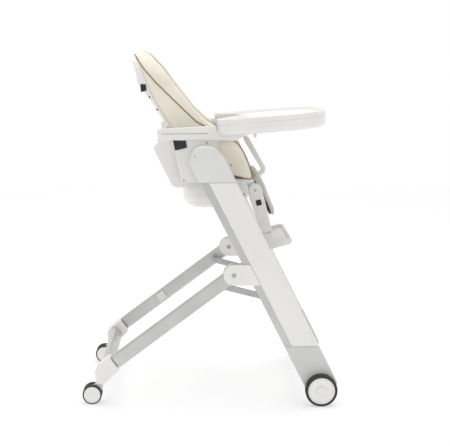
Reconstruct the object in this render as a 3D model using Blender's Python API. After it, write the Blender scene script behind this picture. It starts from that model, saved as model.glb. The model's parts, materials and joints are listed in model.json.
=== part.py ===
"""Folding baby high chair: slanted front legs on wheels, a rear frame on casters that folds under them,
and a seat unit that slides along the front legs with a reclining back, a leg rest and a two-part tray.

+X is forward, +Y is the child's left, +Z is up; the floor is Z = 0 and Y = 0 is the plane of symmetry.
Sizes are in metres. Side views are drawn in X and Z and given their width along Y.
"""
import math

import bmesh
import bpy
from mathutils import Vector

# ---------------------------------------------------------------- driving dimensions
FIT = 0.0003                      # gap between pieces that touch
TRAVEL_GAP = 0.0010               # gap round a piece that moves in a pocket

# front legs
LEG_SPREAD = 0.270                # centre plane to the outer face of a leg
LEG_THICK = 0.051                 # leg thickness across the chair
LEG_ANGLE = math.radians(63.3)    # leg slope from the floor
LEG_LENGTH = 0.693                # wheel axle to the underside of the top cap
RAIL_BACK = -0.040                # rear face of the aluminium rail, from the axle line
COVER_BACK = -0.0195              # rear edge of the plastic cover, from the axle line
LEG_FRONT = 0.053                 # front face of the leg, from the axle line
RAIL_FRONT = 0.0375               # front face of the rail inside the cover
SLOT_HALF = 0.0175                # half the width of the carriage slot
SLOT_DEPTH = 0.024
COVER_WALL = 0.012
FOOT_TOP = 0.179                  # height at which the grey foot starts

# wheels
WHEEL_RADIUS = 0.048
WHEEL_WIDTH = 0.0275
TYRE_DEPTH = 0.0085
AXLE_RADIUS = 0.005
CASTER_RADIUS = 0.029
CASTER_WHEEL_WIDTH = 0.0165
CASTER_WEB = 0.010                # thickness of the caster body between its two wheels
CASTER_TRAIL = 0.0235
STEM_RADIUS = 0.005
CASTER_HEIGHT = 0.064             # floor to the underside of the rear corner

# rear frame
PIVOT_UP = 0.4278                 # fold pivot, measured up the leg from the axle
PIVOT_BEHIND = 0.0369             # and square to it, behind the rail's rear face
PIVOT_RADIUS = 0.004
BRACKET_RADIUS = 0.031
BRACKET_EAR = 0.0055
BRACKET_CLEAR = 0.0055            # rear tube to the bracket's web
REAR_ANGLE = math.radians(36.7)   # rear tube slope from the floor
TUBE_DEPTH = 0.042
TUBE_THICK = 0.022
CORNER_RISE = 0.045               # underside of the corner to the tube's axis at the crossbar

# strut between the rear tube and the front leg
STRUT_AT = 0.0620                 # fold pivot to the strut's screw on the tube
STRUT_DEPTH = 0.019
STRUT_THICK = 0.004
STRUT_LENGTH = 0.1816
STRUT_ANGLE = math.radians(14.6)  # strut slope from the floor
STRUT_GAP = 0.0055                # rail to strut

# seat unit
SIDE_PLATE = 0.012                # thickness of the seat's side plates
PLATE_GAP = 0.0135                # leg to side plate
CUSHION_SIDE = 0.022              # thickness of the seat cushion's side wings
SEAT_FRONT = 103.0                # front edge of the seat, in seat-unit millimetres
BACK_HALF = 0.165                 # half the width of the backrest
BACK_WING = 0.030                 # thickness of the backrest's side wings
BACK_TOP_ROUND = 0.105            # height of the rounded top of the backrest
BACK_EAR = 0.004                  # thickness of the shell's hinge ears
BACK_PIN = 0.004
PAN_HALF = 0.178
CHEEK_WALL = 0.009                # thickness of the pan's cheeks that carry the backrest
BELLY_HALF = 0.120
LEGREST_ARM_OUT = 0.150           # centre plane to the outer face of a leg-rest arm
LEGREST_ARM = 0.014
LEGREST_LUG = 0.014
LEGREST_PIN = 0.004
POST_HALF = 0.014

# tray
TRAY_BESIDE = 0.025               # armrest's outer face to the side of the tray
TRAY_REAR = 0.0                   # rear tips of the tray, in the tray's own frame
TRAY_DEPTH = 0.340
TRAY_SLOPE = math.radians(4.5)
TRAY_SPLIT = 0.032                # height of the lower shell
TRAY_RIM = 0.049                  # height of the rim

# ---------------------------------------------------------------- places worked out from them
LEG_IN = LEG_SPREAD - LEG_THICK
SIN_LEG = math.sin(LEG_ANGLE)
COS_LEG = math.cos(LEG_ANGLE)
SIN_REAR = math.sin(REAR_ANGLE)
COS_REAR = math.cos(REAR_ANGLE)
AXLE_Z = WHEEL_RADIUS
SLOT_MID = 0.0067
PIVOT_BACK = PIVOT_BEHIND - RAIL_BACK
PIVOT_Z = AXLE_Z + PIVOT_UP * SIN_LEG - PIVOT_BACK * COS_LEG
PIVOT_FROM_AXLE = -PIVOT_UP * COS_LEG - PIVOT_BACK * SIN_LEG
CORNER_Z = CASTER_HEIGHT + CORNER_RISE
CORNER_T = (PIVOT_Z - CORNER_Z) / SIN_REAR
STEM_BACK = 0.018
REARMOST = PIVOT_FROM_AXLE - CORNER_T * COS_REAR - STEM_BACK - CASTER_TRAIL - CASTER_RADIUS
AXLE_X = -(REARMOST + WHEEL_RADIUS) / 2
PIVOT_X = AXLE_X + PIVOT_FROM_AXLE
TUBE_MID = LEG_SPREAD - 0.020
STEM_Y = LEG_SPREAD - 0.037
PLATE_OUT = LEG_IN - PLATE_GAP
ARM_OUT = LEG_IN - 0.006
TRAY_HALF = ARM_OUT + TRAY_BESIDE
ARM_IN = PLATE_OUT - SIDE_PLATE
CUSHION_OUT = ARM_IN - 0.003


def leg(up, out):
    """Side-view point measured up the front leg from the axle, and out square to it."""
    return (AXLE_X - up * COS_LEG + out * SIN_LEG, AXLE_Z + up * SIN_LEG + out * COS_LEG)


def up_at(out, height):
    """How far up the leg a line at this distance from the axle line reaches a height."""
    return (height - AXLE_Z - out * COS_LEG) / SIN_LEG


def rear(along, above):
    """Side-view point measured down the rear tube from the fold pivot, and above its axis."""
    return (PIVOT_X - along * COS_REAR - above * SIN_REAR, PIVOT_Z - along * SIN_REAR + above * COS_REAR)


SEAT_DATUM = leg(LEG_LENGTH, SLOT_MID)
CORNER = rear(CORNER_T, 0)
STEM_X = CORNER[0] - STEM_BACK


def seat(*points):
    """Seat-unit points, given in millimetres from the point where the slide meets the cap."""
    return [(SEAT_DATUM[0] + x * 0.001, SEAT_DATUM[1] + z * 0.001) for x, z in points]


# ---------------------------------------------------------------- shape helpers
def material(name, colour, roughness, metallic=0.0):
    found = bpy.data.materials.get(name)
    if found:
        return found
    made = bpy.data.materials.new(name)
    made.use_nodes = True
    shader = made.node_tree.nodes["Principled BSDF"]
    shader.inputs["Base Color"].default_value = (*colour, 1.0)
    shader.inputs["Roughness"].default_value = roughness
    shader.inputs["Metallic"].default_value = metallic
    return made


def white_plastic():
    return material("white_plastic", (0.86, 0.85, 0.83), 0.35)


def cap_plastic():
    return material("cap_plastic", (0.76, 0.76, 0.74), 0.40)


def foot_plastic():
    return material("foot_plastic", (0.66, 0.66, 0.64), 0.45)


def aluminium():
    return material("anodised_aluminium", (0.58, 0.58, 0.57), 0.35, 0.9)


def steel():
    return material("steel", (0.55, 0.55, 0.55), 0.3, 1.0)


def tyre_rubber():
    return material("tyre_rubber", (0.03, 0.03, 0.032), 0.7)


def black_plastic():
    return material("black_plastic", (0.008, 0.009, 0.013), 0.45)


def leatherette():
    return material("cream_leatherette", (0.80, 0.75, 0.64), 0.5)


def pad_leatherette():
    return material("grey_leatherette", (0.55, 0.54, 0.48), 0.5)


def webbing():
    return material("harness_webbing", (0.35, 0.33, 0.30), 0.8)


def rounded(points, radius, steps=3):
    """The outline with each corner replaced by an arc; radius is one value or one per corner."""
    count = len(points)
    radii = radius if isinstance(radius, (list, tuple)) else [radius] * count
    result = []
    for index, corner in enumerate(points):
        here = Vector(corner)
        back = Vector(points[index - 1]) - here
        ahead = Vector(points[(index + 1) % count]) - here
        half = back.angle(ahead) / 2
        reach = radii[index] / math.tan(half)
        reach = min(reach, 0.48 * back.length, 0.48 * ahead.length)
        if reach < 1e-6:
            result.append(tuple(here))
            continue
        start = here + back.normalized() * reach
        end = here + ahead.normalized() * reach
        arc_radius = reach * math.tan(half)
        bisector = (back.normalized() + ahead.normalized()).normalized()
        centre = here + bisector * (arc_radius / math.sin(half))
        first = start - centre
        last = end - centre
        turn = math.atan2(first.x * last.y - first.y * last.x, first.dot(last))
        for step in range(steps + 1):
            angle = turn * step / steps
            cosine, sine = math.cos(angle), math.sin(angle)
            result.append((centre.x + first.x * cosine - first.y * sine,
                           centre.y + first.x * sine + first.y * cosine))
    return result


def circle(centre, radius, steps=24):
    return [(centre[0] + radius * math.cos(2 * math.pi * i / steps),
             centre[1] + radius * math.sin(2 * math.pi * i / steps)) for i in range(steps)]


def finish_mesh(name, mesh, surface, smooth_angle=35):
    mesh.normal_update()
    bmesh.ops.recalc_face_normals(mesh, faces=mesh.faces)
    data = bpy.data.meshes.new(name)
    mesh.to_mesh(data)
    mesh.free()
    data.shade_smooth()
    data.set_sharp_from_angle(angle=math.radians(smooth_angle))
    data.materials.append(surface)
    obj = bpy.data.objects.new(name, data)
    bpy.context.scene.collection.objects.link(obj)
    return obj


def put_origin(obj, x, y, z):
    """Moves the object's origin to a joint's axis and leaves its shape where it is."""
    for vertex in obj.data.vertices:
        vertex.co -= Vector((x, y, z))
    obj.location = (x, y, z)
    return obj


def signed_area(outline):
    return sum(a[0] * b[1] - b[0] * a[1] for a, b in zip(outline, outline[1:] + outline[:1])) / 2


def inset(outline, distance):
    """The outline moved inwards by a distance, with its corners kept."""
    turn = 1.0 if signed_area(outline) > 0 else -1.0
    result = []
    for index, point in enumerate(outline):
        here = Vector(point)
        before = (here - Vector(outline[index - 1])).normalized()
        after = (Vector(outline[(index + 1) % len(outline)]) - here).normalized()
        normal = Vector((-before.y - after.y, before.x + after.x)).normalized()
        stretch = 1.0 / max(0.5, normal.dot(Vector((-before.y, before.x))))
        result.append(tuple(here + normal * (turn * distance * stretch)))
    return result


def edge_steps(width, segments):
    """(inset, depth) pairs of a rounded edge, from the flat face to the side."""
    return [(width * (1 - math.sin(math.pi / 2 * i / segments)), width * (1 - math.cos(math.pi / 2 * i / segments)))
            for i in range(segments + 1)]


def prism(name, outline, y_from, y_to, surface, edge=0.0, segments=1):
    """A side-view outline with thickness between two distances along Y, and rounded edges."""
    low, high = sorted((y_from, y_to))
    steps = edge_steps(edge, segments) if edge else [(0.0, 0.0)]
    layers = [(shrink, low + depth) for shrink, depth in steps]
    layers += [(shrink, high - depth) for shrink, depth in reversed(steps)]
    rings = [[(x, y, z) for x, z in inset(outline, shrink)] for shrink, y in layers]
    return stacked(name, rings, surface)


def leg_profile(name, profile, side, low_height, high_height, surface):
    """A constant section along the leg, cut level at two heights. The section is (out, across)."""
    mesh = bmesh.new()
    ends = []
    for height in (low_height, high_height):
        ring = []
        for out, across in profile:
            x, z = leg(up_at(out, height), out)
            ring.append(mesh.verts.new((x, side * across, z)))
        ends.append(ring)
    mesh.faces.new(ends[0])
    mesh.faces.new(list(reversed(ends[1])))
    for index in range(len(profile)):
        after = (index + 1) % len(profile)
        mesh.faces.new((ends[0][index], ends[1][index], ends[1][after], ends[0][after]))
    return finish_mesh(name, mesh, surface)


def turned(name, profile, centre, surface, steps=32, axis="Y"):
    """A turned piece: the profile is (distance along the axis, radius), from one end to the other.

    The radius is measured to the middle of each facet, and a facet faces straight down.
    """
    mesh = bmesh.new()
    rings = []
    reach = 1 / math.cos(math.pi / steps)
    for along, radius in profile:
        if radius < 1e-7:
            rings.append([mesh.verts.new(turned_point(centre, axis, along, 0.0, 0.0))])
            continue
        ring = []
        for index in range(steps):
            angle = 2 * math.pi * (index + 0.5) / steps
            first, second = radius * reach * math.cos(angle), radius * reach * math.sin(angle)
            ring.append(mesh.verts.new(turned_point(centre, axis, along, first, second)))
        rings.append(ring)
    closed = len(rings[0]) > 1
    pairs = list(zip(rings, rings[1:]))
    if closed:
        pairs.append((rings[-1], rings[0]))
    for ring, following in pairs:
        for index in range(steps):
            after = (index + 1) % steps
            corners = [ring[index % len(ring)], ring[after % len(ring)],
                       following[after % len(following)], following[index % len(following)]]
            unique = list(dict.fromkeys(corners))
            if len(unique) > 2:
                mesh.faces.new(unique)
    return finish_mesh(name, mesh, surface)


def turned_point(centre, axis, along, first, second):
    if axis == "Y":
        return (centre[0] + first, centre[1] + along, centre[2] + second)
    return (centre[0] + first, centre[1] + second, centre[2] + along)


def stacked(name, rings, surface):
    """A closed body through rings of equal point count, with the first and last ring filled."""
    mesh = bmesh.new()
    made = [[mesh.verts.new(point) for point in ring] for ring in rings]
    mesh.faces.new(made[0])
    mesh.faces.new(list(reversed(made[-1])))
    for ring, following in zip(made, made[1:]):
        for index in range(len(ring)):
            after = (index + 1) % len(ring)
            mesh.faces.new((ring[index], following[index], following[after], ring[after]))
    return finish_mesh(name, mesh, surface)


def cutter(obj):
    obj.hide_render = True
    obj.display_type = "WIRE"
    return obj


def cut(obj, tool, operation="DIFFERENCE"):
    modifier = obj.modifiers.new(tool.name, "BOOLEAN")
    modifier.operation = operation
    modifier.object = cutter(tool)
    return obj


def bore(obj, name, centre, y_from, y_to, radius, steps=20):
    """A round hole along Y through the object."""
    return cut(obj, prism(name, circle(centre, radius, steps), y_from, y_to, steel()))


# ---------------------------------------------------------------- front legs
def leg_rail(tag, side):
    """Aluminium extrusion with a slot facing the seat, and a lip that shows behind the cover."""
    mid_in, mid_out = SLOT_MID - SLOT_HALF, SLOT_MID + SLOT_HALF
    skin = LEG_SPREAD - COVER_WALL - FIT
    lip = LEG_SPREAD - 0.004
    profile = [(RAIL_BACK, LEG_IN), (mid_in, LEG_IN), (mid_in, LEG_IN + SLOT_DEPTH),
               (mid_out, LEG_IN + SLOT_DEPTH), (mid_out, LEG_IN), (RAIL_FRONT, LEG_IN),
               (RAIL_FRONT, skin), (COVER_BACK - FIT, skin), (COVER_BACK - FIT, lip), (RAIL_BACK, lip)]
    leg_profile(f"leg_rail_{tag}", profile, side, FOOT_TOP, cap_bottom(), aluminium())


def leg_cover(tag, side):
    """White plastic cover over the outer side and the front of the rail."""
    skin = LEG_SPREAD - COVER_WALL
    profile = [(COVER_BACK, skin), (COVER_BACK, LEG_SPREAD), (LEG_FRONT, LEG_SPREAD), (LEG_FRONT, LEG_IN),
               (RAIL_FRONT + FIT, LEG_IN), (RAIL_FRONT + FIT, skin)]
    profile = rounded(profile, [0.001, 0.002, 0.008, 0.006, 0.001, 0.0], 3)
    leg_profile(f"leg_cover_{tag}", profile, side, FOOT_TOP, cap_bottom(), white_plastic())


def cap_bottom():
    return SEAT_DATUM[1]


def leg_cap(tag, side):
    """Rounded end cap on top of the leg, a little prouder than the leg all round."""
    back, front = RAIL_BACK - 0.005, LEG_FRONT + 0.001
    base = cap_bottom() + FIT
    corners = [leg(up_at(back, base), back), leg(LEG_LENGTH + 0.092, back), leg(LEG_LENGTH + 0.1195, -0.018),
               leg(LEG_LENGTH + 0.1175, 0.010), leg(LEG_LENGTH + 0.098, 0.042), leg(LEG_LENGTH + 0.060, front),
               leg(up_at(front, base), front)]
    outline = rounded(corners, [0.006, 0.030, 0.030, 0.030, 0.030, 0.035, 0.006], 3)
    prism(f"leg_cap_{tag}", outline, side * (LEG_IN - 0.0015), side * (LEG_SPREAD + 0.0015), cap_plastic(), 0.0045, 2)


def foot_cover(tag, side):
    """Grey foot that closes the leg's lower end and carries the wheel's axle."""
    top = FOOT_TOP - FIT
    corners = [leg(up_at(RAIL_BACK, top), RAIL_BACK), leg(up_at(LEG_FRONT, top), LEG_FRONT),
               leg(-0.010, LEG_FRONT), leg(-0.036, 0.020), leg(-0.036, -0.020), leg(-0.005, RAIL_BACK)]
    outline = rounded(corners, [0.004, 0.004, 0.020, 0.025, 0.025, 0.020], 4)
    foot = prism(f"foot_cover_{tag}", outline, side * LEG_IN, side * LEG_SPREAD, foot_plastic(), 0.003)
    bore(foot, f"axle_hole_{tag}", (AXLE_X, AXLE_Z), side * (LEG_IN + 0.010), side * (LEG_SPREAD + 0.01),
         AXLE_RADIUS + FIT)


def front_wheel(tag, side):
    """Tyre, hub and the axle that is fixed in the foot."""
    start = LEG_SPREAD + TRAVEL_GAP
    rim = WHEEL_RADIUS - TYRE_DEPTH
    half = WHEEL_WIDTH / 2
    middle = (AXLE_X, side * (start + half), AXLE_Z)
    tyre = [(-half, rim + FIT), (-half, WHEEL_RADIUS - 0.004), (-half * 0.7, WHEEL_RADIUS),
            (half * 0.7, WHEEL_RADIUS), (half, WHEEL_RADIUS - 0.004), (half, rim + FIT)]
    put_origin(turned(f"front_tyre_{tag}", tyre, middle, tyre_rubber(), 28), *middle)
    hole = AXLE_RADIUS + FIT
    hub = [(-half * 0.9, hole), (-half * 0.9, rim), (half, rim), (half, rim - 0.006),
           (half * 0.72, rim - 0.010), (half * 0.72, 0.016), (half * 0.95, 0.013), (half * 0.95, hole)]
    if side < 0:
        hub = [(-along, radius) for along, radius in hub]
    put_origin(turned(f"front_hub_{tag}", hub, middle, white_plastic(), 28), *middle)
    inner_end = -(half + TRAVEL_GAP + LEG_THICK - 0.011)
    axle = [(inner_end, 0.0), (inner_end, AXLE_RADIUS), (half * 0.95 + FIT, AXLE_RADIUS),
            (half * 0.95 + FIT, 0.0095), (half * 0.95 + 0.0022, 0.0082), (half * 0.95 + 0.0022, 0.0)]
    axle = [(side * along, radius) for along, radius in axle]
    turned(f"wheel_axle_{tag}", axle, middle, steel(), 24)


def fold_bracket(tag, side):
    """Fork that carries the rear tube: two ears joined by a web that clasps the rail."""
    top, bottom = PIVOT_Z + BRACKET_RADIUS, PIVOT_Z - BRACKET_RADIUS
    front = COVER_BACK - FIT
    arc = [(PIVOT_X + BRACKET_RADIUS * math.cos(angle), PIVOT_Z + BRACKET_RADIUS * math.sin(angle))
           for angle in [math.radians(90 + 180 * i / 12) for i in range(13)]]
    outline = arc + [leg(up_at(front, bottom), front), leg(up_at(front, top), front)]
    outside = LEG_SPREAD + 0.002
    inside = TUBE_MID - TUBE_THICK / 2 - TRAVEL_GAP - BRACKET_EAR
    bracket = prism(f"fold_bracket_{tag}", outline, side * inside, side * outside, white_plastic(), 0.0015)
    web = -PIVOT_BACK + TUBE_DEPTH / 2 + BRACKET_CLEAR
    back, high, low = PIVOT_X - 0.05, PIVOT_Z + 0.05, PIVOT_Z - 0.05
    slot = [(back, low), leg(up_at(web, low), web), leg(up_at(web, high), web), (back, high)]
    cut(bracket, prism(f"tube_slot_{tag}", slot, side * (inside + BRACKET_EAR),
                       side * (TUBE_MID + TUBE_THICK / 2 + TRAVEL_GAP), steel()))
    rail = RAIL_BACK - FIT
    pocket = [leg(up_at(rail, low), rail), leg(up_at(0.01, low), 0.01), leg(up_at(0.01, high), 0.01),
              leg(up_at(rail, high), rail)]
    cut(bracket, prism(f"rail_pocket_{tag}", pocket, side * (inside - 0.01),
                       side * (LEG_SPREAD - 0.004 + FIT), steel()))
    bore(bracket, f"bracket_hole_{tag}", (PIVOT_X, PIVOT_Z), side * (inside - 0.01), side * (outside + 0.01),
         PIVOT_RADIUS + FIT)
    head = outside + FIT
    pin = [(inside - 0.0025, 0.0), (inside - 0.0025, 0.006), (inside - FIT, 0.007), (inside - FIT, PIVOT_RADIUS),
           (head, PIVOT_RADIUS), (head, 0.0065), (head + 0.0016, 0.0055), (head + 0.0016, 0.0)]
    pin = [(side * along, radius) for along, radius in pin]
    turned(f"fold_pin_{tag}", pin, (PIVOT_X, 0.0, PIVOT_Z), steel(), 20)


def front_crossbar():
    """Flat tube between the two feet."""
    middle = leg(up_at(SLOT_MID, 0.125), SLOT_MID)
    outline = rounded(tilted_box(middle, LEG_ANGLE, 0.050, 0.024), 0.011, 4)
    prism("front_crossbar", outline, -(LEG_IN - FIT), LEG_IN - FIT, aluminium(), 0.0)


def tilted_box(middle, slope, length, depth):
    """Corners of a rectangle whose length runs down to +X at this slope."""
    along = (math.cos(slope) * length / 2, -math.sin(slope) * length / 2)
    across = (math.sin(slope) * depth / 2, math.cos(slope) * depth / 2)
    return [(middle[0] + i * along[0] + j * across[0], middle[1] + i * along[1] + j * across[1])
            for i, j in ((-1, -1), (1, -1), (1, 1), (-1, 1))]


# ---------------------------------------------------------------- rear frame
def rear_tube(tag, side):
    """Flat-oval tube from the fold pivot down to the plastic corner."""
    half = TUBE_DEPTH / 2
    end = CORNER_T - 0.033 - FIT
    outline = [rear(-0.010, -half), rear(-0.010, half), rear(end, half), rear(end, -half)]
    outline = rounded(outline, [0.012, 0.012, 0.0062, 0.0062], 3)
    tube = prism(f"rear_tube_{tag}", outline, side * (TUBE_MID - TUBE_THICK / 2),
                 side * (TUBE_MID + TUBE_THICK / 2), aluminium(), 0.005)
    bore(tube, f"pivot_hole_{tag}", (PIVOT_X, PIVOT_Z), side * (TUBE_MID - 0.03), side * (TUBE_MID + 0.03),
         PIVOT_RADIUS + FIT)
    put_origin(tube, PIVOT_X, 0.0, PIVOT_Z)


def rear_corner(tag, side):
    """Plastic corner that joins the tube to the crossbar and holds the caster's stem."""
    t = CORNER_T
    corners = [rear(t - 0.033, -0.026), rear(t - 0.033, 0.0235), rear(t + 0.009, 0.0225), rear(t + 0.027, 0.0155),
               (STEM_X - 0.010, CASTER_HEIGHT), (STEM_X + 0.014, CASTER_HEIGHT)]
    outline = rounded(corners, [0.005, 0.005, 0.012, 0.012, 0.010, 0.010], 4)
    corner = prism(f"rear_corner_{tag}", outline, side * (STEM_Y - 0.020), side * (TUBE_MID + 0.014),
                   white_plastic(), 0.003)
    hole = turned(f"stem_hole_{tag}", [(-0.01, 0.0), (-0.01, STEM_RADIUS + FIT), (0.021, STEM_RADIUS + FIT),
                                       (0.021, 0.0)], (STEM_X, side * STEM_Y, CASTER_HEIGHT), steel(), 20, "Z")
    cut(corner, hole)


def rear_crossbar():
    """Flat-oval tube across the back, between the two corners."""
    middle = rear(CORNER_T, -0.004)
    outline = rounded(tilted_box(middle, math.pi / 2 - REAR_ANGLE, TUBE_DEPTH, TUBE_THICK), 0.009, 4)
    reach = STEM_Y - 0.020 - FIT
    prism("rear_crossbar", outline, -reach, reach, aluminium())


def tube_clip(tag, side):
    """Small clip on the inner face of the rear tube, where the tray hangs when it isn't in use."""
    along = 0.285
    outline = rounded([rear(along - 0.014, -0.012), rear(along - 0.014, 0.014), rear(along + 0.014, 0.014),
                       rear(along + 0.014, -0.012)], 0.005, 3)
    face = TUBE_MID - TUBE_THICK / 2 - FIT
    prism(f"tray_hook_{tag}", outline, side * (face - 0.009), side * face, cap_plastic(), 0.002)


def caster(tag, side):
    """Swivel body with its stem, and the pair of wheels on either side of its web."""
    wheel_x = STEM_X - CASTER_TRAIL
    centre = (wheel_x, side * STEM_Y, CASTER_RADIUS)
    half_web = CASTER_WEB / 2
    hood_top = CASTER_HEIGHT - 0.002
    arc = [(wheel_x + 0.021 * math.cos(angle), CASTER_RADIUS + 0.021 * math.sin(angle))
           for angle in [math.radians(135 + 180 * i / 12) for i in range(13)]]
    outline = arc + [(STEM_X + 0.009, CASTER_RADIUS + 0.020), (STEM_X + 0.009, hood_top),
                     (STEM_X - 0.010, hood_top)]
    web = prism(f"caster_body_{tag}", rounded(outline, [0.002] * 13 + [0.004, 0.002, 0.004], 2),
                centre[1] - half_web, centre[1] + half_web, cap_plastic(), 0.001, 1)
    stem = [(0.012, 0.0), (0.012, STEM_RADIUS), (0.030 + 0.019, STEM_RADIUS), (0.030 + 0.019, 0.0)]
    shaft = turned(f"caster_stem_{tag}", stem, (STEM_X, centre[1], CASTER_RADIUS), steel(), 20, "Z")
    cut(web, shaft, "UNION")
    bore(web, f"caster_bore_{tag}", (wheel_x, CASTER_RADIUS), centre[1] - 0.02, centre[1] + 0.02, 0.0035 + FIT)
    put_origin(web, STEM_X, centre[1], 0.0)
    inner = half_web + TRAVEL_GAP
    outer = inner + CASTER_WHEEL_WIDTH
    radius = CASTER_RADIUS
    half_profile = [(inner, 0.0035), (inner, radius), (outer - 0.003, radius), (outer, radius - 0.004),
                    (outer, 0.0)]
    profile = [(-along, r) for along, r in reversed(half_profile)] + half_profile
    put_origin(turned(f"caster_wheels_{tag}", profile, centre, tyre_rubber(), 20), *centre)


def strut(tag, side):
    """Flat steel brace from the rear tube to the front leg's slot; its front end is left open."""
    at = math.radians(4.4)
    start = rear(STRUT_AT * math.cos(at), -STRUT_AT * math.sin(at))
    slope = (math.cos(STRUT_ANGLE), -math.sin(STRUT_ANGLE))
    middle = (start[0] + slope[0] * STRUT_LENGTH / 2, start[1] + slope[1] * STRUT_LENGTH / 2)
    outline = rounded(tilted_box(middle, STRUT_ANGLE, STRUT_LENGTH + STRUT_DEPTH, STRUT_DEPTH), 0.009, 4)
    outer = LEG_IN - STRUT_GAP
    bar = prism(f"strut_{tag}", outline, side * (outer - STRUT_THICK), side * outer, steel(), 0.0008, 1)
    stud = [(outer - 0.008, 0.0), (outer - 0.008, 0.005), (TUBE_MID - TUBE_THICK / 2 - 0.0015, 0.005),
            (TUBE_MID - TUBE_THICK / 2 - 0.0015, 0.0)]
    stud = [(side * along, radius) for along, radius in stud]
    cut(bar, turned(f"strut_stud_{tag}", stud, (start[0], 0.0, start[1]), steel(), 16), "UNION")
    put_origin(bar, start[0], 0.0, start[1])


# ---------------------------------------------------------------- seat unit
def side_plate(tag, side):
    """White side plate that carries the seat and hides the slide."""
    corners = seat((-140.5, 134), (-17, 134), (53, -6), (46, -42), (-8, -42), (-31, -6), (-109, -6))
    outline = rounded(corners, [0.002, 0.002, 0.012, 0.010, 0.010, 0.008, 0.004], 3)
    prism(f"side_plate_{tag}", outline, side * ARM_IN, side * PLATE_OUT, white_plastic(), 0.0015)


def carriage(tag, side):
    """Slide block that runs in the rail's slot, with a neck to the side plate."""
    high, low = LEG_LENGTH - 0.012, LEG_LENGTH - 0.052
    reach = SLOT_HALF - TRAVEL_GAP
    corners = [leg(low, SLOT_MID - reach), leg(low, SLOT_MID + reach), leg(high, SLOT_MID + reach),
               leg(high, SLOT_MID - reach)]
    prism(f"slide_block_{tag}", rounded(corners, 0.003, 2), side * (PLATE_OUT + FIT),
          side * (LEG_IN + SLOT_DEPTH - TRAVEL_GAP), black_plastic(), 0.001, 1)


def armrest(tag, side):
    """Armrest beam over the side plate, with a tongue that the tray slides on."""
    rise = math.tan(TRAY_SLOPE)
    tongue_x, tongue_end = -4.0, 110.0
    tongue_low = 137.5
    corners = seat((-182, 154), (-178, 121), (52, 119), (66, 127), (tongue_end, tongue_low + 107 * rise),
                   (tongue_end, tongue_low + 12 + 107 * rise), (tongue_x, tongue_low + 13), (tongue_x - 2, 164))
    outline = rounded(corners, [0.008, 0.012, 0.006, 0.004, 0.003, 0.003, 0.003, 0.006], 3)
    beam = prism(f"armrest_{tag}", outline, side * (PLATE_OUT + FIT), side * ARM_OUT, white_plastic(), 0.0025)
    pocket = seat((-139, 100), (-93, 100), (-93, 130), (-139, 130))
    cut(beam, prism(f"lever_pocket_{tag}", pocket, side * (PLATE_OUT - 0.001), side * (ARM_OUT - 0.0025), steel()))


def height_lever(tag, side):
    """Squeeze lever under the armrest that frees the slide."""
    outline = rounded(seat((-134.5, 124), (-98, 124), (-92.5, 99), (-128.8, 90)), 0.003, 2)
    prism(f"height_lever_{tag}", outline, side * (PLATE_OUT + TRAVEL_GAP), side * (ARM_OUT - 0.0035),
          black_plastic(), 0.0006, 1)


def seat_pan():
    """Moulded pan under the seat cushion, hollow from below, with lugs for the leg rest."""
    edge = SEAT_FRONT
    corners = seat((-104, 2), (edge, 2), (edge + 4, -4), (edge, -9), (62, -10), (40, -34), (-92, -34), (-107, -12))
    outline = rounded(corners, [0.004, 0.003, 0.003, 0.002, 0.004, 0.008, 0.012, 0.010], 3)
    pan = prism("seat_pan", outline, -PAN_HALF, PAN_HALF, white_plastic(), 0.0015)
    hollow = seat((-99, -4), (56, -4), (34, -45), (-99, -45))
    cut(pan, prism("pan_hollow", hollow, -PAN_HALF + 0.005, PAN_HALF - 0.005, steel()))
    outer = LEGREST_ARM_OUT - LEGREST_ARM - TRAVEL_GAP
    pivot = legrest_pivot()
    cheek = rounded(seat((-176, 117), (-194, 95), (-138, -18), (-126, -24), (-90, -22), (-62, -2), (-62, 100),
                         (-76, 117)), [0.006, 0.010, 0.006, 0.006, 0.010, 0.002, 0.010, 0.006], 3)
    for tag, side in SIDES:
        wall = prism(f"pan_cheek_{tag}", cheek, side * (PAN_HALF - CHEEK_WALL), side * (PAN_HALF - 0.0006), steel(),
                     0.001)
        cut(pan, wall, "UNION")
        bore(pan, f"back_hole_{tag}", back_pivot(), side * (PAN_HALF - 0.02), side * (PAN_HALF - 0.0025),
             BACK_PIN + FIT)
        drop = [(0.015, 0.0), (0.008, -0.014), (-0.008, -0.014), (-0.017, 0.0)]
        corners = seat((70, 0), (edge - 2, 0)) + [(pivot[0] + x, pivot[1] + z) for x, z in drop]
        lug = rounded(corners, [0.0, 0.0, 0.006, 0.008, 0.008, 0.006], 3)
        cut(pan, prism(f"legrest_lug_{tag}", lug, side * (outer - LEGREST_LUG), side * outer, steel()), "UNION")
        bore(pan, f"lug_hole_{tag}", pivot, side * (outer - 0.03), side * (outer + 0.03), LEGREST_PIN + FIT)


def legrest_pivot():
    return seat((113, -36))[0]


def belly_cover():
    """Rounded lower shell under the pan."""
    rings = []
    count = 28
    front, back = seat((40, 0))[0][0], seat((-108, 0))[0][0]
    top = SEAT_DATUM[1] - 0.034 - FIT
    middle, half_length = (front + back) / 2, (front - back) / 2
    for drop, shrink in ((0.0, 1.0), (0.030, 0.97), (0.050, 0.86), (0.062, 0.64)):
        ring = []
        for index in range(count):
            angle = 2 * math.pi * index / count
            cosine, sine = math.cos(angle), math.sin(angle)
            power = 2 / 3.2
            x = math.copysign(abs(cosine) ** power, cosine)
            y = math.copysign(abs(sine) ** power, sine)
            ring.append((middle + half_length * shrink * x, BELLY_HALF * shrink * y, top - drop))
        rings.append(ring)
    stacked("belly_cover", rings, white_plastic())


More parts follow.
